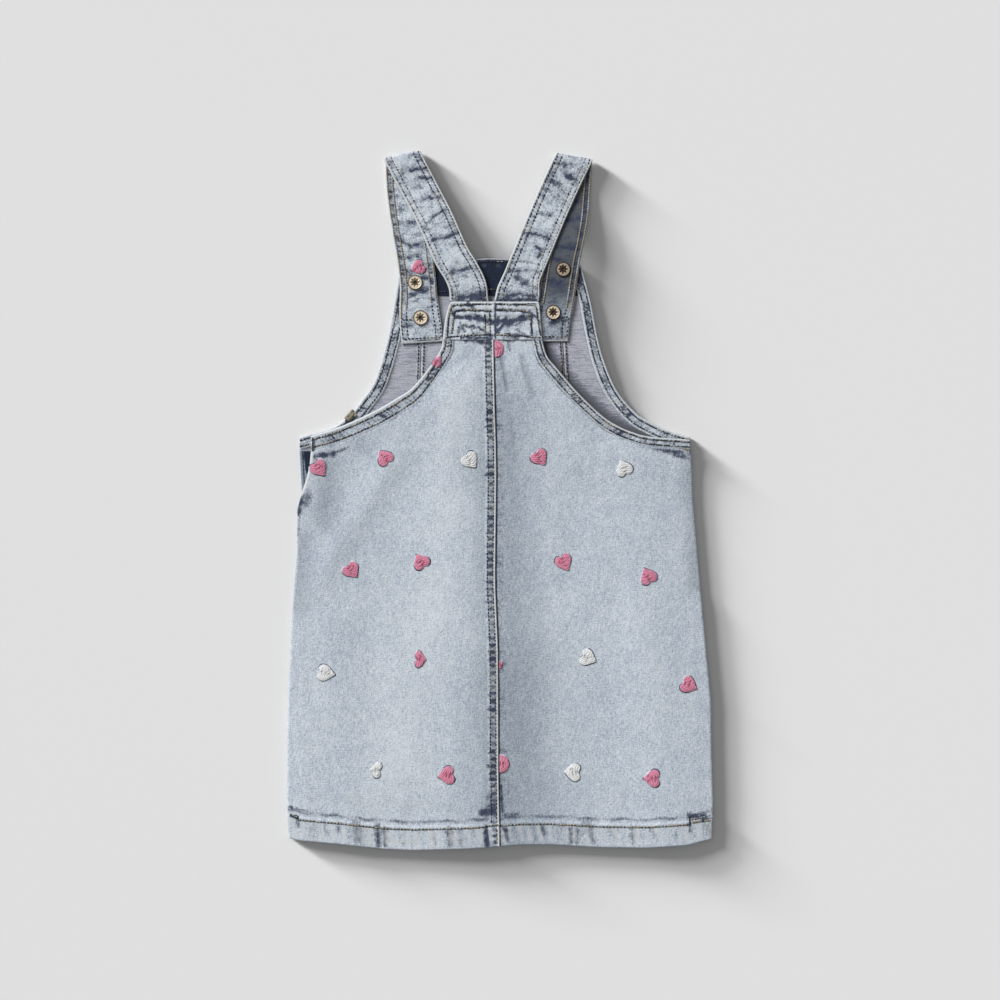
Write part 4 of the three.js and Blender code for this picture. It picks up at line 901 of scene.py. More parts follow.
def metal_finish(name, settings):
    """Aged copper, brown in the hollows."""
    finish = Finish(name)
    place_in = finish.node("ShaderNodeTexCoord", output="Object")
    scaled = finish.node(
        "ShaderNodeVectorMath", {"operation": "MULTIPLY"}, {0: place_in, 1: (900.0, 900.0, 900.0)})
    spots = finish.node("ShaderNodeTexNoise", None, {"Vector": scaled, "Scale": 1.0, "Detail": 3.0}) - 0.5
    # Patina in the hollows, and painted shade where the mask is raised over a whole tack
    tarnish_and_painted_shade = (finish.mask("indigo_and_painted_shade") + spots * 0.5).clamp()
    colour = finish.mix(tarnish_and_painted_shade, settings.copper, settings.tarnish_and_painted_shade)
    roughness = 0.42 + tarnish_and_painted_shade * 0.3
    return finish.surface(colour, roughness, spots, 0.05, {"Metallic": 0.4})


def finish_named(name, settings):
    """Each finish is made once and shared by its pieces."""
    if name in bpy.data.materials:
        return bpy.data.materials[name]
    makers = {
        "washed_denim": lambda: denim_finish(name, settings),
        "binding_denim": lambda: denim_finish(name, settings, 0.02, 1.3, 0.3),
        "strap_denim": lambda: denim_finish(name, settings, -0.13, 2.2, 0.6, 0.2),
        "yoke_denim": lambda: denim_finish(name, settings, -0.1, 1.8, 0.6),
        "strap_inner_denim": lambda: denim_finish(name, settings, -0.06, 2.4, 0.65, 0.2),
        "inside_twill": lambda: inside_finish(name, settings),
        "dark_denim": lambda: dark_finish(name, settings),
        "pink_thread": lambda: thread_finish(name, settings.pink, (0.5, 0.26, 0.36)),
        "white_thread": lambda: thread_finish(name, settings.white, (0.55, 0.56, 0.57)),
        "dark_topstitch": lambda: thread_finish(name, settings.dark_stitch),
        "khaki_topstitch": lambda: thread_finish(name, settings.khaki_stitch),
        "pale_topstitch": lambda: thread_finish(name, settings.pale_stitch),
        "aged_copper": lambda: metal_finish(name, settings),
    }
    return makers[name]()


def lay_cloth(settings, name, node, top, bottom, finishes, wall, masks, cloth=None):
    """Adds the shell of a sheet, in place of its node, and states its flat cut. cloth holds its places in
    the flat cloth, if they aren't those of the laid one."""
    cloth = top[..., :2] if cloth is None else cloth
    piece = cloth_shell(name, top, bottom, cloth, masks, [finish_named(f, settings) for f in finishes], wall)
    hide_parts(node)


# Stitches
class Stitching:
    """Collects stitches along paths and adds them as one mesh."""

    COLOURS = ("dark_topstitch", "khaki_topstitch", "pale_topstitch")
    SIDES = 5
    # place along the stitch, share of its thickness, lift
    SECTIONS = ((0.0, 0.35, -0.5), (0.18, 0.95, 0.3), (0.5, 1.0, 0.55), (0.82, 0.95, 0.3), (1.0, 0.35, -0.5))

    def __init__(self, settings):
        self.settings = settings
        self.stitches = []

    def row(
            self, path, normals=None, colours=(0,), seed=0, gap=0.84, pitch=None, slant=0.0, across=0.0,
            thick=1.0):
        """Stitches along a path of points, turned by slant, or laid across the path with a length of across.
        colours are picked stitch by stitch in turn, unevenly. gap is a stitch's share of the pitch."""
        path = np.asarray(path, float)
        normals = np.tile([0.0, 0.0, 1.0], (len(path), 1)) if normals is None else normals
        run = np.concatenate([[0], np.cumsum(np.linalg.norm(np.diff(path, axis=0), axis=1))])
        pitch = pitch or self.settings.stitch_pitch * 1000
        count = max(1, int(run[-1] / pitch))
        dice = np.random.default_rng(seed + 101)
        starts = (np.arange(count) + 0.5) * run[-1] / count + dice.uniform(-0.12, 0.12, count)
        half = pitch * gap * dice.uniform(0.85, 1.1, count) / 2
        at = lambda s, values: np.stack([np.interp(s, run, values[:, k]) for k in range(3)], 1)
        drift = wander(starts, seed + 7, 26)
        pick = np.clip(((drift + 1) / 2 * len(colours)).astype(int), 0, len(colours) - 1)
        first, last, up = at(starts - half, path), at(starts + half, path), unit(at(starts, normals))
        side = unit(np.cross(up, last - first))
        if across:
            middle = (first + last) / 2
            reach = side * across * dice.uniform(0.42, 0.55, count)[:, None]
            first, last = middle - reach, middle + reach
        else:
            turn = side * half[:, None] * math.tan(math.radians(slant))
            first, last = first - turn, last + turn
        width = self.settings.stitch_width * 500 * thick * dice.uniform(0.85, 1.15, count)
        self.stitches.append((first, last, up, np.take(colours, pick), width))

    def cord(self, path, seed, colours=(1, 1, 2)):
        """Chained row: a thick cord with dark slanted stitches over parts of it."""
        self.row(path, None, colours, seed, gap=1.15, pitch=1.9, slant=18, thick=1.15)
        self.row(path + (0.0, 0.0, 0.22), None, (0, 0, 0, 1), seed + 1, gap=0.62, slant=24)

    def bar(self, path, wide, colours, seed):
        """Bar tack: close stitches across the path."""
        self.row(path, None, colours, seed, pitch=0.62, across=wide, thick=0.8)

    def build(self, name):
        first, last, up, colour, radius = (np.concatenate(c) for c in zip(*self.stitches))
        run = last - first
        side = unit(np.cross(up, run))
        angles = 2 * math.pi * (np.arange(self.SIDES) + 0.25) / self.SIDES
        radius = radius[:, None, None]
        rings = []
        for share, thick, lift in self.SECTIONS:
            centre = first + run * share
            ring = side[:, None] * np.cos(angles)[:, None] + up[:, None] * 0.85 * np.sin(angles)[:, None]
            rings.append(centre[:, None] + ring * radius * thick + up[:, None] * radius * lift)
        points = np.stack(rings, 1)
        block = len(self.SECTIONS) * self.SIDES
        faces = []
        for r in range(len(self.SECTIONS) - 1):
            for i in range(self.SIDES):
                j = (i + 1) % self.SIDES
                low, high = r * self.SIDES, (r + 1) * self.SIDES
                faces.append([low + i, low + j, high + j, high + i])
        faces.append(list(range(self.SIDES))[::-1])
        faces.append([block - self.SIDES + k for k in range(self.SIDES)])
        count = len(first)
        every = [[k + n * block for k in face] for n in range(count) for face in faces]
        flat = np.zeros((count, len(self.SECTIONS), self.SIDES, 3))
        flat[..., 0] = np.arange(self.SIDES) * 0.4
        flat[..., 1] = np.arange(len(self.SECTIONS))[:, None] * 0.5 + np.arange(count)[:, None, None] * 3.0
        # Painted shade at both ends of each stitch, where it dips into the cloth
        dips = np.zeros((count, len(self.SECTIONS), self.SIDES))
        dips[:, 0], dips[:, -1] = 0.6, 0.6
        finishes = [finish_named(key, self.settings) for key in self.COLOURS]
        data = {"cloth": flat.reshape(-1, 3), "indigo_and_painted_shade": dips.ravel()}
        piece = add_mesh(name, points.reshape(-1, 3), every, finishes, np.repeat(colour, len(faces)), data)
        return piece


def lifted(x, y, surface, lift=0.1):
    return stack(x, y, surface(x, y) + lift)


# Back
def back_masks(x, y, edge):
    """Indigo left in the dips, and the rubbed ridges, of a back panel."""
    d = seam_at(y) - x
    up = y - hem_at(x)
    pull = seam_pull(y)
    left = d > -0.05
    deep = np.clip(0.8 + 0.5 * wander(y, 15, 60), 0.35, 1.2)
    spots = np.clip(0.5 - 0.6 * np.cos(2 * math.pi * (y / 5.3 + 0.25 * wander(y, 28, 40))), 0, 1) ** 1.3
    fray = 5.8 + 1.9 * wander(y, 29, 5.0)
    blots = band(1.9, 5.8, d, 0.6) * (0.26 + 0.9 * spots) * np.maximum(deep, 0.55)
    blots = np.maximum(blots, band(4.6, fray + 1.2, d, 1.2) * np.clip(0.15 + 1.1 * spots, 0, 1) * deep * 0.85)
    # Right of the lap: a dark line along its edge, painted shadow with some indigo, then a soft band of
    # indigo and painted shade
    beside = 1.1 * fall(0.5, 1.4, -d) + 0.36 * band(0.5, 6.0, -d, 2) * (0.5 + pull) * deep
    streak = np.clip(0.3 + 0.7 * wander(x + 0.2 * up, 24, 11) + 0.35 * wander(x, 25, 3.4), 0, 1)
    above = bump(up - 21.2 - 0.7 * wander(x, 42, 24), 1.4)
    above = above * np.clip(0.54 + 0.26 * wander(x, 41, 26), 0.3, 0.75)
    gap = np.full(x.shape, 99.0)
    for a, b in edge:
        gap = np.minimum(gap, np.hypot(x - a, y - b))
    # Beside the armhole binding's edge: indigo and painted shade
    arm = 0.5 * bump(gap, 1.3) * np.clip(0.7 + 0.7 * wander(x, 17, 22), 0.1, 1.2)
    dye_and_painted_shade = np.maximum.reduce([
        np.where(left, blots, beside), 0.26 * streak * band(3.5, HEM_ROW - 1.5, up, 2.2), above, arm,
        strokes(x, y, BACK_DYE_AND_SHADE), strokes(x, y, HEM_DYE),
    ])
    opening = fall(1.2, 2.2, x - look_up(LEFT_SIDE, y)) * band(4, 60, y, 3)
    rubbed = np.where(left, fall(1.2, 1.9, d) * (0.9 + 0.3 * wander(y, 18, 9)), 0)
    rubbed = rubbed + 0.4 * band(HEM_ROW + 0.8, HEM_DEPTH + 0.4, up, 0.5) + 0.35 * fall(0.6, 1.6, up)
    rubbed = rubbed + 0.6 * (1 - streak) * band(2, HEM_ROW, up, 1.5)
    rubbed = rubbed + opening + 0.45 * fall(0.6, 1.8, from_sides(x, y))
    return dye_and_painted_shade * (1 - opening), np.clip(rubbed, 0, 1.2)


def make_back(settings):
    plan = (
        ("back_left", BACK_ARM_LEFT, LEFT_SIDE, 0.0),
        ("back_right", BACK_ARM_RIGHT, RIGHT_SIDE, SEAM_GAP),
    )
    for node, arm, side, gap in plan:
        edge = panel_edge(arm)
        foot = edge[:, 1].min()
        levels = np.concatenate([skirt_levels(foot - 2, 0.9, 1.55), arm_levels(foot - 1.4, PANEL_TOP, 1.05)])
        x, y = panel_grid(levels, edge_line(edge, side), lambda v: seam_at(v) + gap, 84, 14.0, 0.7)
        bottom = back_floor(x, y) + settings.crease_depth * back_crease(x, y)
        top = bottom + back_wall(x, y) + back_relief(x, y)
        dye_and_painted_shade, worn = back_masks(x, y, edge)
        lay_cloth(
            settings, "panel_" + node, node, stack(x, y, top), stack(x, y, bottom),
            ("washed_denim", "inside_twill"), CLOTH,
            {"indigo_and_painted_shade": (dye_and_painted_shade, 0), "worn": (worn, 0), "drape_and_painted_light": (drape_and_painted_light(x, y), 0)},
        )


def stitch_back(settings):
    rows = Stitching(settings)
    y = np.arange(PANEL_TOP - 0.6, hem_at(0) + HEM_DEPTH, -0.8)
    for k, d in enumerate(LAP_ROWS):
        rows.row(lifted(seam_at(y) - d, y, back_surface), colours=(0, 0, 1, 0), seed=k)
    y = np.arange(hem_at(0) + HEM_ROW - 2, hem_at(0) + 1, -0.8)
    rows.row(lifted(seam_at(y) - LAP_ROWS[0], y, back_surface), colours=(1, 0), seed=5)
    for k, (a, b, raised) in enumerate(HEM_RUNS):
        x = np.linspace(a, b, int((b - a) * 1.6))
        rows.cord(lifted(x, hem_at(x) + HEM_ROW + raised, back_surface), seed=12 + 3 * k)
    for k, (x1, y1, x2, y2, wide, colours) in enumerate(BARS):
        s = np.linspace(0, 1, 24)
        rows.bar(lifted(x1 + (x2 - x1) * s, y1 + (y2 - y1) * s, back_surface, 0.25), wide, colours, 60 + k)
    rows.build("back_stitches")


# Armhole bindings
def back_binding_floor(x, y):
    crease = back_crease(x, y) * fall(20, 45, y)
    return back_floor(x, np.minimum(y, PANEL_TOP)) + crease - 0.15


def binding_grid(table, floor, count=170):
    p = arm_stations(table, count)
    share = np.concatenate([[0, 0.035, 0.09], np.linspace(0.16, 0.94, 12), [1.06]])
    x = p[:, :1] + (p[:, 2:3] - p[:, :1]) * share
    y = p[:, 1:2] + (p[:, 3:4] - p[:, 1:2]) * share
    middle = (p[:, :2] + p[:, 2:]) / 2
    run = np.concatenate([[0], np.cumsum(np.linalg.norm(np.diff(middle, axis=0), axis=1))])
    wide = np.linalg.norm(p[:, 2:] - p[:, :2], axis=1)[:, None]
    return x, y, floor(x, y), run[:, None] + 0 * share, wide * share


def binding_relief(run, across, wide, seed):
    share = across / wide
    pull = puckers(run + across * 0.6, seed, 6.4)
    rows = sum(bump((share - s) * wide, 0.5) for s in BINDING_ROWS)
    return -0.14 * rows - 0.26 * pull * band(0.12, 0.95, share, 0.08) + 0.15 * bump(share - 0.1, 0.08)


def binding_masks(run, share, wide, seed, deep):
    """Indigo and rubbing of a binding. deep is 0 for the plain ones and 1 for the darkest."""
    pull = puckers(run + share * wide * 0.6, seed, 3.8)
    mood = np.clip(0.7 + 0.5 * wander(run, seed + 5, 34) + 0.3 * deep, 0.2, 1.25)
    spots = wander(run * 1.3 + share * 9, seed + 6, 4.0) * wander(run - share * 12, seed + 8, 5.0)
    dye_and_painted_shade = band(0.32, 0.68, share, 0.07) * (0.3 + 0.25 * deep + 0.75 * pull + 0.5 * spots) * mood
    for place_at in BINDING_ROWS:
        dye_and_painted_shade = np.maximum(dye_and_painted_shade, (0.45 + 0.5 * pull) * mood * bump((share - place_at) * wide, 0.8))
    worn = fall(0.06, 0.13, share) + 0.6 * band(0.88, 1.2, share, 0.05)
    worn = worn + 0.3 * (1 - pull) * band(0.3, 0.7, share, 0.1)
    return dye_and_painted_shade, worn


def make_bindings(settings):
    # Each binding's last number is the depth of its painted shade
    plan = (
        ("back_binding_left", BACK_ARM_LEFT, back_binding_floor, 31, 0.0),
        ("back_binding_right", BACK_ARM_RIGHT, back_binding_floor, 47, 0.1),
        ("front_binding_left", FRONT_ARM_LEFT, front_floor, 59, 0.8),
        ("front_binding_right", FRONT_ARM_RIGHT, front_floor, 67, 1.0),
    )
    rows = Stitching(settings)
    for node, table, floor_at, seed, deep in plan:
        x, y, floor, run, across = binding_grid(table, floor_at)
        wide = across[:, -1:]
        share = across / wide
        top = floor + BINDING_WALL * (0.8 + 0.2 * smooth(0, 0.1, share))
        top = top + binding_relief(run, across, wide, seed)
        # Painted shade, full over the first 30 mm from the top end and gone past about 74 mm; darker still
        # over the first 4 to 16 mm
        dye_and_painted_shade, worn = binding_masks(run, share, wide, seed, deep * (1.1 - 1.1 * smooth(30, 74, run)))
        dye_and_painted_shade = np.maximum(dye_and_painted_shade, 0.9 * deep * fall(4, 16, run) * band(0.1, 1.1, share, 0.1))
        lay_cloth(
            settings, "edge_" + node, node, stack(x, y, top), stack(x, y, floor),
            ("binding_denim",), BINDING_WALL, {"indigo_and_painted_shade": (dye_and_painted_shade, 0), "worn": (worn, 0.5 * worn)},
            np.stack([run, across], -1),
        )
        for k, s in enumerate(BINDING_ROWS):
            px = x[:, 0] + (x[:, -1] - x[:, 0]) * s
            py = y[:, 0] + (y[:, -1] - y[:, 0]) * s
            pz = np.array([np.interp(s, share[i], top[i]) for i in range(len(top))]) + 0.05
            colours = (0, 2, 0, 0) if deep > 0.5 else (0, 1, 0, 2)
            rows.cord(stack(px, py, pz), seed=seed + 2 * k, colours=colours)
    path_x = np.linspace(TACK_START[0], TACK_END, 12)
    path_y = TACK_START[1] + (path_x - TACK_START[0]) * TACK_SLOPE
    for k, (dx, dy) in enumerate(TACK_OFFSETS):
        path = stack(path_x + dx, path_y + dy, front_floor(path_x, path_y) + BINDING_WALL + 0.5)
        rows.bar(path, 2.6, ((1, 0, 1), (0, 1, 0), (1, 2, 1))[k], 590 + k)
    rows.build("binding_stitches")


# Yoke: y, x of the left and right sides
YOKE_SIDES = (
    (119.8, -43, 31.5), (128, -42.2, 30.8), (138, -40.6, 30.2), (145, -38.6, 29.6), (147.2, -37.4, 29.1),
    (148.3, -36, 28),
)
# Its topstitch rows: places in turn, as x, y
YOKE_ROWS = (
    ((-39.6, 121.8), (-39, 132), (-37.8, 141), (-36.4, 144.4), (-33, 145.8), (-6.6, 146.3)),
    ((-4, 146.3), (20, 146), (25.4, 145.4), (27.2, 142.4), (28, 134), (30.2, 122.4)),
    ((-36.2, 124), (-35.2, 134), (-34, 140.6), (-26, 141.8), (-6.6, 141.2)),
    ((-4, 141.7), (12, 141.7), (20.6, 140.4), (22.6, 136), (23.6, 123.8)),
    ((-41.6, 120.9), (-30, 122.6), (-6.8, 123.6)), ((-3.6, 123.4), (12, 122.6), (30.6, 121.4)),
    ((-7.9, 139.6), (-7.6, 124.6)), ((-11.6, 139), (-11.2, 125)),
)


def yoke_relief(x, y):
    marks = [(*a, *b, 0.6, 1.0) for row in YOKE_ROWS for a, b in zip(row, row[1:])]
    rows = 0.16 * strokes(x, y, marks, 0)
    swell = 0.3 * bump(y - 147.0, 1.2) + 0.14 * wander(x + 0.5 * y, 71, 7) * band(121, 146, y, 3)
    swell = swell + 0.4 * band(137.4, 140.2, y, 1.0) * band(-33, 21, x, 2) + 0.4 * band(142.4, 145.4, y, 0.8)
    return swell - 0.5 * strokes(x, y, YOKE_DYE[:YOKE_DENTS]) - rows + 0.32 * bump(x - YOKE_MIDDLE, 0.7)


def make_yoke(settings):
    y = np.linspace(YOKE_BOTTOM - 0.5, YOKE_TOP, 60)
    left, right = (look_up([(r[0], r[k]) for r in YOKE_SIDES], y)[:, None] for k in (1, 2))
    x = left + (right - left) * np.linspace(0, 1, 141)
    y = y[:, None] + 0 * x
    surface = lambda px, py: YOKE_FLOOR + YOKE_WALL - YOKE_SINK + yoke_relief(px, py)
    dye_and_painted_shade = strokes(x, y, YOKE_DYE)
    worn = 0.8 * band(146.9, 148.3, y, 0.3) + 0.55 * band(142.4, 145.2, y, 0.6)
    worn = worn + (0.9 + 0.2 * wander(y, 3, 6)) * np.exp(-((x - YOKE_MIDDLE) / 0.7) ** 4)
    worn = worn + 0.8 * fall(0.9, 1.7, np.minimum(x - left, right - x))
    lay_cloth(
        settings, "yoke_cloth", "back_yoke", stack(x, y, surface(x, y)), stack(x, y, YOKE_FLOOR),
        ("yoke_denim", "inside_twill"), 1.6, {"indigo_and_painted_shade": (dye_and_painted_shade, 0), "worn": (worn * (1 - 0.8 * dye_and_painted_shade), 0)},
    )
    rows = Stitching(settings)
    for k, row in enumerate(YOKE_ROWS):
        s = np.linspace(0, len(row) - 1, 25 * len(row))
        px, py = (along([p[i] for p in row], s) for i in (0, 1))
        path = lifted(px, py + 0.2 * wander(s * 20, k, 18), surface, 0.05)
        rows.cord(path, seed=80 + 2 * k, colours=(0, 0, 1, 2))
    rows.build("yoke_stitches")


# Front, seen from inside above the back's armholes and flat on the table below
def front_shell(settings, node, levels, low, high, count, shape=None):
    """Front panel between two lines of x by y. shape moves the points to their final y."""
    x, y = panel_grid(levels, low, high, count)
    if shape is not None:
        y = shape(x, y)
    bottom = front_floor(x, y)
    ripple = 0.16 * wander(x + 0.4 * y, 3, 34) * smooth(30, 60, y)
    top = bottom + front_wall(x, y) + ripple
    # Painted light on the front's inside: lighter all over, with painted shadow along the right back
    # binding's outer edge and a painted dark line beside the left front binding's inner edge
    turned = 1.0 + 0 * x
    for table, column, depth, half in ((BACK_ARM_RIGHT, 0, 4.4, 7.0), (FRONT_ARM_LEFT, 2, 3.0, 2.2)):
        arm = arm_stations(table, 80)
        gap = np.min(np.hypot(x[..., None] - arm[:, column], y[..., None] - arm[:, column + 1]), -1)
        turned = turned - depth * bump(gap, half)
    seam = np.zeros_like(x)
    worn = np.zeros_like(x)
    for table in (FRONT_SEAM_LEFT, FRONT_SEAM_RIGHT):
        d = np.abs(x - look_up(table, y))
        pull = puckers(y, 90, 5.0)
        pulled = band(-1, 3.6, d, 0.5) * (0.15 + 0.8 * pull)
        seam = np.maximum(seam, pulled * (1 - 0.5 * band(-1, 1.4, d, 0.4)))
        worn = np.maximum(worn, 0.6 * fall(1.6, 2.4, d) * (1 - pull))
    lay_cloth(
        settings, "panel_" + node, node, stack(x, y, top), stack(x, y, bottom),
        ("inside_twill", "washed_denim"), CLOTH,
        {"indigo_and_painted_shade": (0.8 * seam, 0.6 * seam), "worn": (worn, 0.5 * worn), "drape_and_painted_light": (turned, 0)},
    )


def make_front(settings):
    left_seam = lambda v: look_up(FRONT_SEAM_LEFT, v)
    right_seam = lambda v: look_up(FRONT_SEAM_RIGHT, v)
    half = SEAM_GAP / 2
    levels = np.concatenate([skirt_levels(48, 2.5, 3.6), arm_levels(48, BIB_END, 2.0)])

    def to_bib_top(x, y):
        return y + smooth(150, BIB_END, y) * (look_up(BIB_TOP, x) - BIB_END)

    front_shell(
        settings, "front_centre", levels, lambda v: left_seam(v) + half, lambda v: right_seam(v) - half, 56,
        to_bib_top)
    sides = (
        ("front_side_left", FRONT_ARM_LEFT, FRONT_LEFT_SIDE, lambda v: left_seam(v) - half),
        ("front_side_right", FRONT_ARM_RIGHT, RIGHT_SIDE, lambda v: right_seam(v) + half),
    )
    for node, arm, side, seam in sides:
        edge = panel_edge(arm)
        foot = edge[:, 1].min()
        upper = arm_levels(foot - 1, edge[:, 1].max(), 1.6)
        levels = np.concatenate([skirt_levels(foot - 2, 2.5, 3.6), upper])
        front_shell(settings, node, levels, edge_line(edge, side), seam, 34)
    rows = Stitching(settings)
    surface = lambda x, y: front_floor(x, y) + SEAM_WALL
    y = np.arange(150.0, 58.0, -0.9)
    plan = ((t, o) for t in (FRONT_SEAM_LEFT, FRONT_SEAM_RIGHT) for o in (-2.0, 2.0))
    for k, (table, off) in enumerate(plan):
        rows.row(lifted(look_up(table, y) + off, y, surface), colours=(0, 0, 0, 1), seed=140 + k)
    rows.build("front_seam_stitches")


def make_facing(settings):
    left, right = (panel_edge(t) for t in (FRONT_ARM_LEFT, FRONT_ARM_RIGHT))
    floor = BIB_RISE + CLOTH + SEAM_GAP
    bib_edge = lambda v: look_up(BIB_TOP, v) - FACING_INSET
    y = np.linspace(FACING_BOTTOM, BIB_END, 32)
    a, b = (np.interp(y, e[::-1, 1], e[::-1, 0]) for e in (left, right))
    x = a[:, None] + (b - a)[:, None] * np.linspace(0, 1, 96)
    y = y[:, None] + smooth(165, BIB_END, y)[:, None] * (bib_edge(x) - BIB_END)
    below = bib_edge(x) - y
    fold = 0.16 * np.sin(x / 3.1 + wander(x, 4, 20)) * band(1, 7, below, 1.5)
    top = floor + FACING_WALL + fold + 0.2 * bump(below - 1.0, 1.0)
    worn = 0.45 * band(3.0, 6.5, below, 1.0) * (0.5 + 0.5 * wander(x, 6, 13)) + 0.55 * fall(0.5, 1.3, below)
    lay_cloth(
        settings, "facing_cloth", "bib_facing", stack(x, y, top), stack(x, y, floor),
        ("dark_denim",), FACING_WALL, {"indigo_and_painted_shade": (0, 0), "worn": (worn, 0)},
    )

    placket_floor = CLOTH + SEAM_GAP
    y = np.linspace(-2, 36.5, 40)[:, None]
    edge = look_up(FRONT_LEFT_SIDE, y) + 0.4
    x = edge + (4 + 16 * smooth(-14, 16, y)) * np.linspace(0, 1, 24)
    y = y + 0 * x
    inset = x - edge
    worn = fall(0.9, 1.5, inset) * smooth(-2, 6, y)
    worn = worn + 1.1 * band(1.2, 3.4 + 6 * fall(8, 24, y), inset, 0.8) * (1 - 0.6 * smooth(26, 34, y))
    top = placket_floor + PLACKET_WALL - 0.15 * band(1.6, 2.6, inset, 0.4)
    lay_cloth(
        settings, "placket_cloth", "side_placket", stack(x, y, top), stack(x, y, placket_floor),
        ("dark_denim",), PLACKET_WALL, {"indigo_and_painted_shade": (0, 0), "worn": (worn, 0)},
    )
    rows = Stitching(settings)
    s = np.linspace(-66, 50, 200)
    for k, off in enumerate((1.6, 22.6)):
        path = stack(s, bib_edge(s) - off, floor + FACING_WALL + 0.15)
        rows.row(path, colours=(0, 0, 0, 1), seed=160 + k)
    s = np.linspace(2, 35, 60)
    path = stack(look_up(FRONT_LEFT_SIDE, s) + 2.3, s, placket_floor + PLACKET_WALL + 0.05)
    rows.row(path, colours=(0, 0), seed=170, gap=1.1, thick=0.7)
    rows.build("facing_stitches")


# Straps
class Strap:
    """The ribbon of a strap, from its buttoned end up the front, round the fold and down to the yoke."""

    def __init__(self, side):
        legs = STRAPS[side]
        front = self.leg(legs["front"], legs["end"])[::-1]
        back = self.leg(legs["back"], legs["root"])
        low = float(strap_floor(400)) + STRAP_WALL / 2
        high = FOLD_FLOOR + STRAP_WALL / 2
        rows = [self.station(p, strap_floor(p[1]) + STRAP_WALL / 2, math.pi) for p in front]
        start, end = front[-1], back[0]
        out = np.array([-end[3], end[2]])
        for t in np.linspace(0, 1, FOLD_POINTS)[1:-1]:
            turn = math.pi * (1 - t)
            centre = start[:2] * (1 - t) + end[:2] * t + out * (high - low) / 2 * math.sin(turn)
            p = np.array([*centre, end[2], end[3], start[4] * (1 - t) + end[4] * t])
            rows.append(self.station(p, (low + high) / 2 + (high - low) / 2 * math.cos(turn), turn))
        rows += [self.station(p, strap_back_floor(p[1]) + STRAP_WALL / 2, 0.0) for p in back]
        self.centre, self.across, self.half, self.normal = (np.array(v) for v in zip(*rows))
        step = np.linalg.norm(np.diff(self.centre, axis=0), axis=1)
        self.run = np.concatenate([[0], np.cumsum(step)])
        self.fold = self.run[len(front) + FOLD_POINTS // 2 - 1]

    @staticmethod
    def leg(table, wide):
        """Middle, direction across and half width of the flat strap along a leg."""
        last = len(table) - 1
        s = np.linspace(0, last, LEG_POINTS)
        x, y, slant = ([row[k] for row in table] for k in range(3))
        step = 0.02
        a, b = np.maximum(s - step, 0), np.minimum(s + step, last)
        run = unit(np.stack([along(x, b) - along(x, a), along(y, b) - along(y, a)], 1))
        angle = np.radians(along(slant, s))
        across = np.stack([np.cos(angle), np.sin(angle)], 1)
        width = STRAP_WIDTH + (wide - STRAP_WIDTH) * smooth(last - 2, last - 0.5, s)
        half = width / 2 / np.abs(run[:, 0] * across[:, 1] - run[:, 1] * across[:, 0])
        return np.column_stack([along(x, s), along(y, s), across, half])

    @staticmethod
    def station(p, z, tilt):
        """Place, direction across, half width and normal of the ribbon, tilted round the fold."""
        normal = (-p[3] * math.sin(tilt), p[2] * math.sin(tilt), math.cos(tilt))
        return (p[0], p[1], float(z)), (p[2], p[3], 0.0), p[4], normal

    def point(self, run, share, lift):
        """Point at a length along the strap, a share across it (-1 to 1) and a height from its middle."""
        at = lambda values: np.stack([np.interp(run, self.run, values[:, k]) for k in range(3)], -1)
        half = np.interp(run, self.run, self.half)[..., None]
        normal = unit(at(self.normal))
        share, lift = (np.asarray(v, float)[..., None] for v in (share, lift))
        return at(self.centre) + at(self.across) * half * share + normal * lift, normal


def strap_faces(strap, side, run, share):
    """Relief, indigo and rubbing of the outer and inner faces at places on the ribbon."""
    half = np.interp(run, strap.run, strap.half)
    inset = (1 - np.abs(share)) * half
    x, y = np.moveaxis(strap.point(run, share, 0 * share)[0][..., :2], -1, 0)
    back = smooth(-3, 3, run - strap.fold)
    front_dye = dye_and_shade_marks(x, y, INNER_DYE[side]) * (1 - back)
    back_dye_and_shade = dye_and_shade_marks(x, y, STRAP_DYE_AND_SHADE[side]) * back
    seed = {"left": 200, "right": 230}[side]
    strong = {"left": np.where(share > 0, 1.0, 0.6), "right": np.where(share < 0, 1.2, 0.6)}[side]
    pull = np.where(share < 0, puckers(run, seed, 4.6), puckers(run, seed + 3, 5.0))
    grooves = lambda places: 0.12 * sum(bump(inset - d, 0.5) for d in places)
    row_pull = band(1.4, 7.0, inset, 1.2) * pull
    outer_dye_and_shade = np.maximum(back_dye_and_shade, 0.8 * front_dye)
    inner_dye_and_shade = np.maximum(front_dye, 0.8 * back_dye_and_shade)
    outer = 0.22 * bump(inset - 0.9, 0.7) - 0.24 * row_pull - 0.34 * outer_dye_and_shade - grooves(STRAP_ROWS)
    inner = 0.15 * bump(inset - 0.8, 0.7) - 0.3 * row_pull - 0.3 * inner_dye_and_shade - grooves(INNER_ROWS)
    blots = band(1.6, 6.4, inset, 0.6) * strong * (0.22 + 0.7 * pull)
    ladder = band(1.8, 4.8, inset, 0.4) * (0.42 + 0.8 * pull) * smooth(24, 38, run)
    outer_dye_and_shade = np.maximum(outer_dye_and_shade, blots * (1 - 0.5 * band(2.8, 4.8, inset, 0.4)))
    inner_dye_and_shade = np.maximum(inner_dye_and_shade, np.maximum(ladder, 0.5 * blots))
    outer_worn = fall(0.8, 1.4, inset) + 0.35 * band(2.6, 5.0, inset, 0.5) * (1 - pull)
    inner_worn = 0.8 * fall(0.6, 1.1, inset) + 0.5 * band(1.9, 4.6, inset, 0.5) * np.clip(0.4 - pull, 0, 1)
    hem = fall(0.8, 1.8, run)
    return outer, inner, outer_dye_and_shade, inner_dye_and_shade, outer_worn, np.maximum(inner_worn, hem)


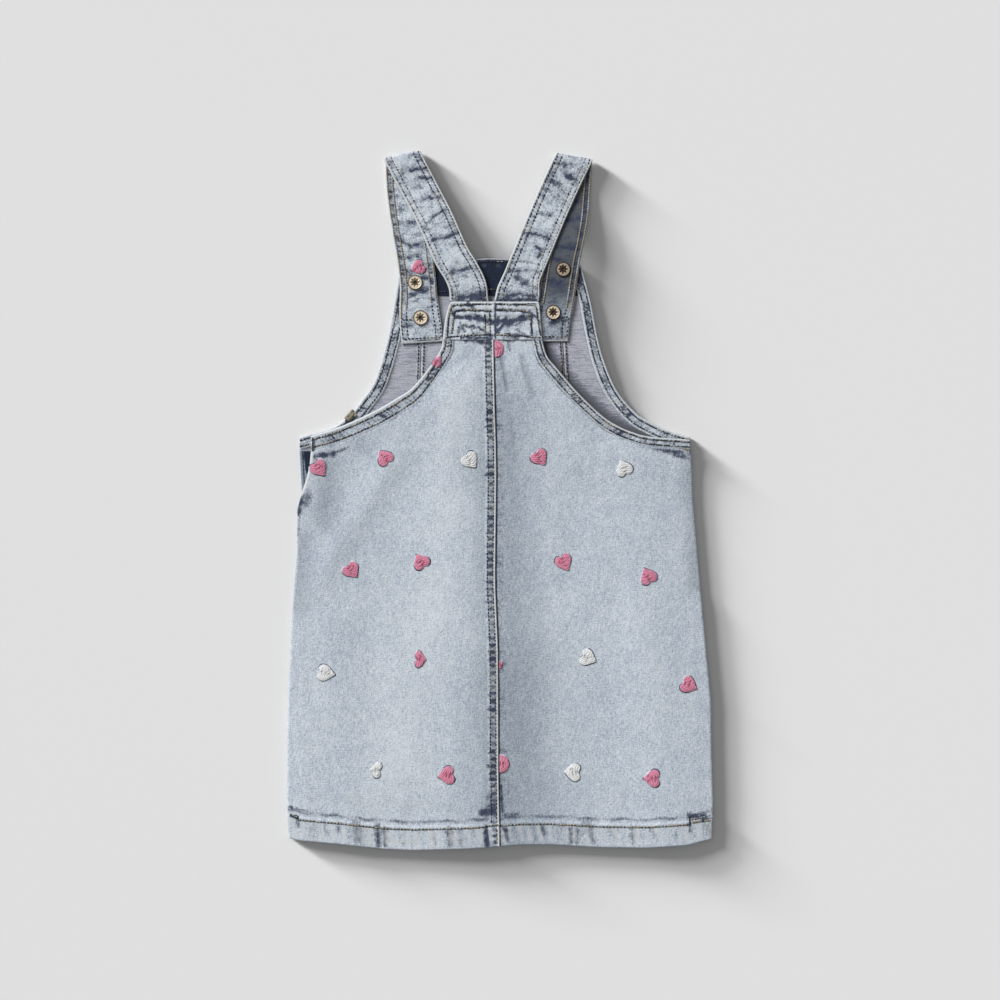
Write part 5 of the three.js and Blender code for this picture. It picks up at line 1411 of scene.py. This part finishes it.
def make_straps(settings):
    rows = Stitching(settings)
    for side in STRAPS:
        strap = Strap(side)
        total = strap.run[-1]
        run = np.linspace(0, total, int(total / 0.8))[:, None]
        share = np.concatenate([[-1, -0.975], np.linspace(-0.94, 0.94, 34), [0.975, 1]])[None]
        run, share = run + 0 * share, share + 0 * run
        outer, inner, outer_dye_and_shade, inner_dye_and_shade, outer_worn, inner_worn = strap_faces(strap, side, run, share)
        top, _ = strap.point(run, share, STRAP_WALL / 2 + outer)
        bottom, _ = strap.point(run, share, -STRAP_WALL / 2 - inner)
        half = np.interp(run, strap.run, strap.half)
        # Painted shadow of the back leg on the inner face of the right strap's front leg, deeper further up
        # from its end; none on the left strap
        shade = {"left": 0, "right": -1.0 - 3.0 * smooth(14, 42, run)}[side] * smooth(3, -3, run - strap.fold)
        lay_cloth(
            settings, f"strap_cloth_{side}", f"strap_{side}", top, bottom,
            ("strap_denim", "strap_inner_denim"), STRAP_WALL,
            {"indigo_and_painted_shade": (outer_dye_and_shade, inner_dye_and_shade), "worn": (outer_worn, inner_worn), "drape_and_painted_light": (0, shade)},
            np.stack([share * half, run], -1),
        )
        stitch_strap(rows, strap, side)
    rows.build("strap_stitches")


def stitch_strap(rows, strap, side):
    total = strap.run[-1]
    seed = {"left": 300, "right": 340}[side]
    dark_side = {"left": 1, "right": -1}[side]

    def sew(low, high, edge, inset, face, lift, colours, number, **more):
        """Row along an edge of the outer face (1) or the inner one (-1)."""
        run = np.arange(low, high, 0.9)
        share = edge * (1 - inset / np.interp(run, strap.run, strap.half))
        relief = strap_faces(strap, side, run, share)[0 if face > 0 else 1]
        path, normal = strap.point(run, share, face * (STRAP_WALL / 2 + relief + lift))
        path[:, 2] = np.maximum(path[:, 2], STITCH_FLOOR)
        rows.row(path, face * normal, colours, seed + number, **more)

    def sew_across(run, share, colours, number):
        path, normal = strap.point(np.full(len(share), run), share, -STRAP_WALL / 2 - 0.12)
        rows.row(path, -normal, colours, seed + number)

    for k, (edge, inset) in enumerate((e, d) for e in (-1, 1) for d in STRAP_ROWS):
        colours = (0, 0, 0, 1) if edge == dark_side else (2, 0, 2, 1)
        sew(3.0, total - 0.5, edge, inset, 1, 0.1, colours, k, slant=10)
    for k, (edge, inset) in enumerate((e, d) for e in (-1, 1) for d in INNER_ROWS):
        end = 30.0 if edge == dark_side else 18.0 + 6.0 * (inset > 3)
        sew(3.0, end, edge, inset, -1, 0.05, (0, 0), 10 + k)
        pale = {"gap": 1.2, "pitch": 2.0, "slant": 14, "thick": 1.25}
        sew(end, total - 6.0, edge, inset, -1, 0.12, (1, 1, 2), 20 + k, **pale)
    share = np.linspace(-0.9, 0.9, 40)
    sew_across(3.6, share, (0, 0, 1), 30)
    sew_across(17.5, -dark_side * share[28:], (0,), 31)


# Metal
def lathe(name, centre, radii, heights, masks, sides, finish):
    """Turned part whose height and mask may change round the axis: arrays of rings by sides."""
    turn = 2 * math.pi * np.arange(sides) / sides
    rings = len(radii)
    spread = lambda v: np.broadcast_to(np.asarray(v, float).reshape(rings, -1), (rings, sides))
    radii, heights, masks = spread(radii), spread(heights), spread(masks)
    points = np.stack([
        centre[0] + radii * np.cos(turn), centre[1] + radii * np.sin(turn), centre[2] + heights,
    ], -1).reshape(-1, 3)
    faces, index, _ = ring_faces(rings, sides)
    faces += [index[0, ::-1].tolist(), index[-1].tolist()]
    data = {"cloth": points, "indigo_and_painted_shade": masks.ravel(), "worn": np.zeros(rings * sides)}
    return add_mesh(name, points, faces, [finish], None, data)


def make_fasteners(settings):
    copper = finish_named("aged_copper", settings)
    turn = 2 * math.pi * np.arange(TACK_SIDES) / TACK_SIDES
    star = 2.3 + 1.3 * np.abs(np.cos(4 * turn)) ** 1.6
    radii, base = np.array(TACK_PROFILE).T
    inside = fall(-0.18, 0.18, radii[:, None] - star[None])
    open_top = (radii < 4.5)[:, None]
    heights = base[:, None] - 0.32 * inside * open_top * (radii > 1.5)[:, None]
    masks = 0.85 * inside * open_top + 0.9 * (radii[:, None] >= 4.95) * (np.arange(len(radii)) < 5)[:, None]
    masks = np.maximum(masks, 0.25 * bump(radii[:, None] - 4.55, 0.25))
    masks[radii < 1.35] = 1.25
    for name, x, y in TACKS:
        seat = float(strap_floor(y)) + STRAP_WALL + SEAM_GAP
        # Painted shade on the right-hand tack backs, deeper on the upper one
        tack_painted_shade = {"right_upper": 0.5, "right_lower": 0.15}.get(name, 0)
        piece = lathe(f"tack_{name}", (x, y, seat), radii, heights, masks + tack_painted_shade, TACK_SIDES, copper)
        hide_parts(f"tack_back_{name}")
    for node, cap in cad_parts.items():
        if node.startswith("button_"):
            cap.data.materials.clear()
            cap.data.materials.append(copper)


# Embroidered hearts
def heart_outline(x, y, wide, long, tip, count):
    """Heart whose tip points the given way, rounded a little towards an oval."""
    angle = 2 * math.pi * (np.arange(count) + 0.5) / count
    reach = (13 * np.cos(angle) - 5 * np.cos(2 * angle) - 2 * np.cos(3 * angle) - np.cos(4 * angle)) / 17
    heart = np.stack([-(reach + 0.14) * 0.59, np.sin(angle) ** 3 * 0.5])
    oval = np.stack([-np.cos(angle), np.sin(angle)]) * 0.5
    u, v = (heart * (1 - HEART_ROUNDNESS) + oval * HEART_ROUNDNESS) * [[long], [wide]]
    c, s = cos_sin(tip)
    return np.stack([x + u * c - v * s, y + u * s + v * c], 1)


def lapped_outline(y, wide, long):
    """What shows of a heart beside the lap of the centre seam."""
    turn = math.pi * (np.linspace(0, 1, 44) - 0.5)
    ys = y + np.sin(turn) * long / 2
    arc = np.stack([seam_at(ys) + 1.0 + wide * np.abs(np.cos(turn)) ** 0.8, ys], 1)
    ys = y + long * np.linspace(0.46, -0.46, 16)
    return np.concatenate([arc, np.stack([seam_at(ys) + 0.8, ys], 1)])


def heart_surface(y):
    """Heights of what a heart at this place lies on: a strap, a binding or the back."""
    if y > 150:
        return lambda px, py: strap_floor(py) + STRAP_WALL + 0 * px
    if y > 90:
        return lambda px, py: back_floor(px, py) + BINDING_WALL
    return back_surface


def make_heart(settings, node, outline, centre, tip, surface, pink, seed):
    """Padded motif of laid threads: a rim of crushed dark cloth, then rings that rise to a crown."""
    dice = np.random.default_rng(seed)
    centre = np.asarray(centre, float)
    shares = np.concatenate([[1.13, 1.02], np.linspace(1.0, 0.04, 20)])
    points = centre + (outline - centre)[None] * shares[:, None, None]
    x, y = points[..., 0], points[..., 1]
    c, s = cos_sin(tip)
    u, v = (x - centre[0]) * c + (y - centre[1]) * s, -(x - centre[0]) * s + (y - centre[1]) * c
    turn = dice.uniform(-0.4, 0.4)
    lay = (u + 0.45 * np.abs(v)) * math.cos(turn) + v * math.sin(turn)
    strands = np.abs(np.sin(math.pi * (lay / 1.7 + 0.35 * wander(v + 0.5 * u, seed, 5))))
    dome = 0.28 + 0.74 * (1 - np.minimum(shares, 1)[:, None] ** 2.6) ** 0.7
    pits = np.zeros_like(x)
    size = np.linalg.norm(outline - centre, axis=1).mean()
    spots = [(0.0, 0.0, 0.9), (-size * 0.5, 0.0, 1.1)] + [
        (*dice.uniform(-0.5, 0.5, 2) * size, dice.uniform(0.5, 0.85)) for _ in range(3)]
    for pu, pv, radius in spots:
        along_pit = (u - pu) * math.cos(pu + turn) + (v - pv) * math.sin(pu + turn)
        apart = (u - pu) ** 2 + (v - pv) ** 2 + 2.5 * along_pit ** 2
        pits = np.maximum(pits, np.exp(-apart / (1.5 * radius) ** 2))
    rim = (shares > 1.01)[:, None]
    height = HEART_HEIGHT * (dome + 0.42 * strands - 0.5 * pits) + SEAM_GAP * 0.5
    height = np.where(rim, np.where(shares[:, None] > 1.1, 0.0, 0.06), height)
    z = surface(x, y) + height
    rings, count = x.shape
    faces, index, after = ring_faces(rings, count)
    under = rings * count + np.arange(count)
    base = stack(x[0], y[0], surface(x[0], y[0]) - 0.05)
    skirt = np.stack([under, np.roll(under, -1), after[0], index[0]], -1)
    every = faces + skirt.tolist() + [index[-1].tolist(), under[::-1].tolist()]
    # Painted shade in the pits, between the strands and round the motif's edge; the rim of cloth round it is
    # indigo with painted shade
    mood = np.clip(0.4 + 1.0 * wander(np.arange(count) * 1.0, seed + 9, 34), 0, 1)
    dips = np.where(rim, 0, 0.8 * pits + 0.6 * (1 - strands) ** 2 + 0.15 * (shares[:, None] > 0.97))
    dye_and_painted_shade = np.where(rim, mood[None] * 1.1, dips)
    dye_and_painted_shade = np.concatenate([dye_and_painted_shade.ravel(), mood * 0.0])
    cloth = np.concatenate([stack(x, y, 0 * x).reshape(-1, 3), base])
    picks = np.zeros(len(every), int)
    picks[:2 * count] = 1
    picks[len(faces):] = 1
    picks[-2] = 0
    finishes = ("pink_thread" if pink else "white_thread", "washed_denim")
    piece = add_mesh(
        "motif_" + node, np.concatenate([stack(x, y, z).reshape(-1, 3), base]), every,
        [finish_named(f, settings) for f in finishes], picks,
        {"cloth": cloth, "indigo_and_painted_shade": dye_and_painted_shade, "worn": np.zeros(len(dye_and_painted_shade))},
    )
    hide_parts(node)


def make_hearts(settings):
    for i, (x, y, wide, long, tip, pink) in enumerate(HEARTS):
        outline = heart_outline(x, y, wide, long, tip, 72)
        make_heart(settings, f"heart_{i + 1:02d}", outline, (x, y), tip, heart_surface(y), pink, 400 + i)
    for i, (y, wide, long) in enumerate(LAPPED_HEARTS):
        centre = (float(seam_at(y)) + 0.8 + wide * 0.42, y)
        outline = lapped_outline(y, wide, long)
        make_heart(settings, f"heart_lapped_{i + 1}", outline, centre, 0, back_surface, 1, 440 + i)


# Stage
def add_light(name, strength, spread, height, turn, item, state):
    """Soft light from the upper left that lights either only the item or all but the item."""
    light = bpy.data.lights.new(name, "SUN")
    light.energy = strength
    light.angle = math.radians(spread)
    lamp = bpy.data.objects.new(name, light)
    lamp.rotation_euler = (math.radians(90 - height), 0.0, math.radians(turn))
    bpy.context.scene.collection.objects.link(lamp)
    lit = bpy.data.collections.new(name + "_receivers")
    lit.objects.link(item)
    lit.collection_objects[0].light_linking.link_state = state
    lamp.light_linking.receiver_collection = lit


def make_stage(settings):
    scene = bpy.context.scene
    mesh = bpy.data.meshes.new("floor")
    signs = ((-1, -1), (1, -1), (1, 1), (-1, 1))
    corners = [(x * FLOOR_REACH, y * FLOOR_REACH, FLOOR_LEVEL) for x, y in signs]
    mesh.from_pydata(corners, [], [(0, 1, 2, 3)])
    finish = Finish("studio_floor")
    spots = finish.node("ShaderNodeTexNoise", None, {"Scale": 9.0, "Detail": 2.0})
    colour = finish.mix(spots, (0.775, 0.775, 0.775), (0.785, 0.785, 0.785))
    mesh.materials.append(finish.surface(colour, 0.95, constants={"Specular IOR Level": 0.1}))
    floor = bpy.data.objects.new("floor", mesh)
    scene.collection.objects.link(floor)
    floor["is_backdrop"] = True
    world = scene.world or bpy.data.worlds.new("studio")
    scene.world = world
    world.use_nodes = True
    sky = world.node_tree.nodes["Background"].inputs
    sky["Color"].default_value = (1.0, 1.0, 1.0, 1.0)
    sky["Strength"].default_value = settings.fill_light
    key = (settings.key_light, settings.key_spread, settings.key_height)
    add_light("window", *key, KEY_TURN, floor, "EXCLUDE")
    for name, share, wider, higher in LOW_LIGHTS:
        spread, height = settings.low_spread + wider, settings.low_height + higher
        add_light(name, settings.low_light * share, spread, height, LOW_TURN, floor, "INCLUDE")
    scene.view_settings.view_transform = "Standard"
    camera = bpy.data.cameras.new("camera")
    camera.lens, camera.sensor_width, camera.clip_end = LENS, SENSOR, FAR_END
    view = bpy.data.objects.new("camera", camera)
    view.location = (*place([VIEW_CENTRE, VIEW_CENTRE, 0.0])[:2], VIEW_HEIGHT)
    scene.collection.objects.link(view)
    scene.camera = view


# Settings, operators and panel
def colour_setting(name, description, value):
    return FloatVectorProperty(
        name=name, description=description, default=value, subtype="COLOR", min=0.0, max=1.0, size=3)


def number_setting(name, description, value, low, high, subtype="NONE"):
    return FloatProperty(
        name=name, description=description, default=value, min=low, max=high, subtype=subtype)


class DressSettings(bpy.types.PropertyGroup):
    """Sizes, colours and light of the dress and its stage."""

    bleached: colour_setting("Bleached", "Palest tone of the washed denim", (0.64, 0.685, 0.735))
    washed: colour_setting("Washed", "Blue-grey tone of the washed denim", (0.29, 0.355, 0.44))
    # Colour of the indigo dye, and of the painted shade that the dye mask carries
    indigo_and_painted_shade: colour_setting("Indigo", "Dye left in dips and seams", (0.022, 0.034, 0.075))
    dull_indigo: colour_setting("Dull indigo", "Lighter threads of the dark cloth", (0.014, 0.02, 0.036))
    abraded: colour_setting("Abraded", "Rubbed edges and ridges", (0.60, 0.615, 0.62))
    inside_pale: colour_setting("Inside, pale", "Palest tone of the wrong side", (0.43, 0.44, 0.50))
    inside_deep: colour_setting("Inside, deep", "Deepest tone of the wrong side", (0.17, 0.185, 0.235))
    shade: colour_setting("Shade", "What folds turned away from the light go towards", (0.05, 0.05, 0.052))
    pink: colour_setting("Pink thread", "Embroidery of the pink hearts", (0.68, 0.26, 0.37))
    white: colour_setting("White thread", "Embroidery of the white hearts", (0.78, 0.79, 0.78))
    dark_stitch: colour_setting("Dark topstitch", "Indigo topstitching", (0.022, 0.026, 0.038))
    khaki_stitch: colour_setting("Khaki topstitch", "Khaki topstitching", (0.29, 0.25, 0.175))
    pale_stitch: colour_setting("Pale topstitch", "Washed-out topstitching", (0.36, 0.38, 0.38))
    copper: colour_setting("Copper", "Face of the tacks and buttons", (0.86, 0.73, 0.56))
    # Colour of the patina in the hollows, and of the painted shade on the right-hand tacks
    tarnish_and_painted_shade: colour_setting("Tarnish", "Hollows of the tacks and buttons", (0.045, 0.028, 0.018))
    stitch_pitch: number_setting("Stitch length", "Length of one topstitch", 0.0026, 0.002, 0.005, "DISTANCE")
    stitch_width: number_setting(
        "Stitch width", "Thickness of the topstitch thread", 0.0009, 0.0003, 0.0015, "DISTANCE")
    crease_depth: number_setting("Crease depth", "Depth of the small creases, as a share", 1.0, 0.0, 1.5)
    key_light: number_setting("Key light", "Strength of the soft light on the dress", 3.8, 0.0, 30.0)
    key_height: number_setting("Key height", "Height of the light on the dress, in degrees", 34.0, 4.0, 90.0)
    key_spread: number_setting("Key spread", "Width of the light on the dress, in degrees", 30.0, 0.0, 60.0)
    low_light: number_setting("Low light", "Strength of the lights on the floor", 9.2, 0.0, 40.0)
    low_height: number_setting("Low height", "Height of the lights on the floor, in degrees", 6.0, 1.0, 90.0)
    low_spread: number_setting("Low spread", "Width of the lights on the floor, in degrees", 8.0, 0.0, 60.0)
    fill_light: number_setting("Fill light", "Strength of the even light from all round", 0.265, 0.0, 3.0)


def piece_operator(key, label, text, makers):
    """One operator for a group of pieces."""
    def execute(self, context):
        for maker in makers:
            maker(context.scene.dress)
        return {"FINISHED"}

    return type(f"DRESS_OT_{key}", (bpy.types.Operator,), {
        "__doc__": text, "bl_idname": f"dress.{key}", "bl_label": label, "execute": execute,
    })


OPERATORS = (
    piece_operator("back", "Back", "Make the back panels and their stitching", (make_back, stitch_back)),
    piece_operator("bindings", "Bindings", "Make the armhole bindings", (make_bindings,)),
    piece_operator("yoke", "Yoke", "Make the yoke", (make_yoke,)),
    piece_operator("front", "Front", "Make the front panels", (make_front,)),
    piece_operator("facing", "Facing", "Make the bib facing and the side placket", (make_facing,)),
    piece_operator("straps", "Straps", "Make both straps", (make_straps,)),
    piece_operator("fasteners", "Fasteners", "Make the tack backs and finish the buttons", (make_fasteners,)),
    piece_operator("hearts", "Hearts", "Make the embroidered hearts", (make_hearts,)),
    piece_operator("stage", "Stage", "Make the floor, lights and camera", (make_stage,)),
)


class DRESS_PT_pieces(bpy.types.Panel):
    """Lists the pieces of the dress and their settings"""

    bl_idname = "DRESS_PT_pieces"
    bl_label = "Pinafore dress"
    bl_space_type = "VIEW_3D"
    bl_region_type = "UI"
    bl_category = "Dress"

    def draw(self, context):
        column = self.layout.column()
        for key in DressSettings.__annotations__:
            column.prop(context.scene.dress, key)
        for operator in OPERATORS:
            column.operator(operator.bl_idname)


CLASSES = (DressSettings, *OPERATORS, DRESS_PT_pieces)


def register():
    for each in CLASSES:
        bpy.utils.register_class(each)
    bpy.types.Scene.dress = bpy.props.PointerProperty(type=DressSettings)


def unregister():
    del bpy.types.Scene.dress
    for each in reversed(CLASSES):
        bpy.utils.unregister_class(each)


def main():
    register()
    for operator in OPERATORS:
        step = getattr(bpy.ops.dress, operator.bl_idname.split(".")[1])
        if step() != {"FINISHED"}:
            raise RuntimeError(f"{operator.bl_label} could not be made")
    corners = lambda box: [[float(v) for v in corner] for corner in box]
    {"cad": corners(CAD_BOX), "visual": corners(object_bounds())}


if __name__ == "__main__":
    main()
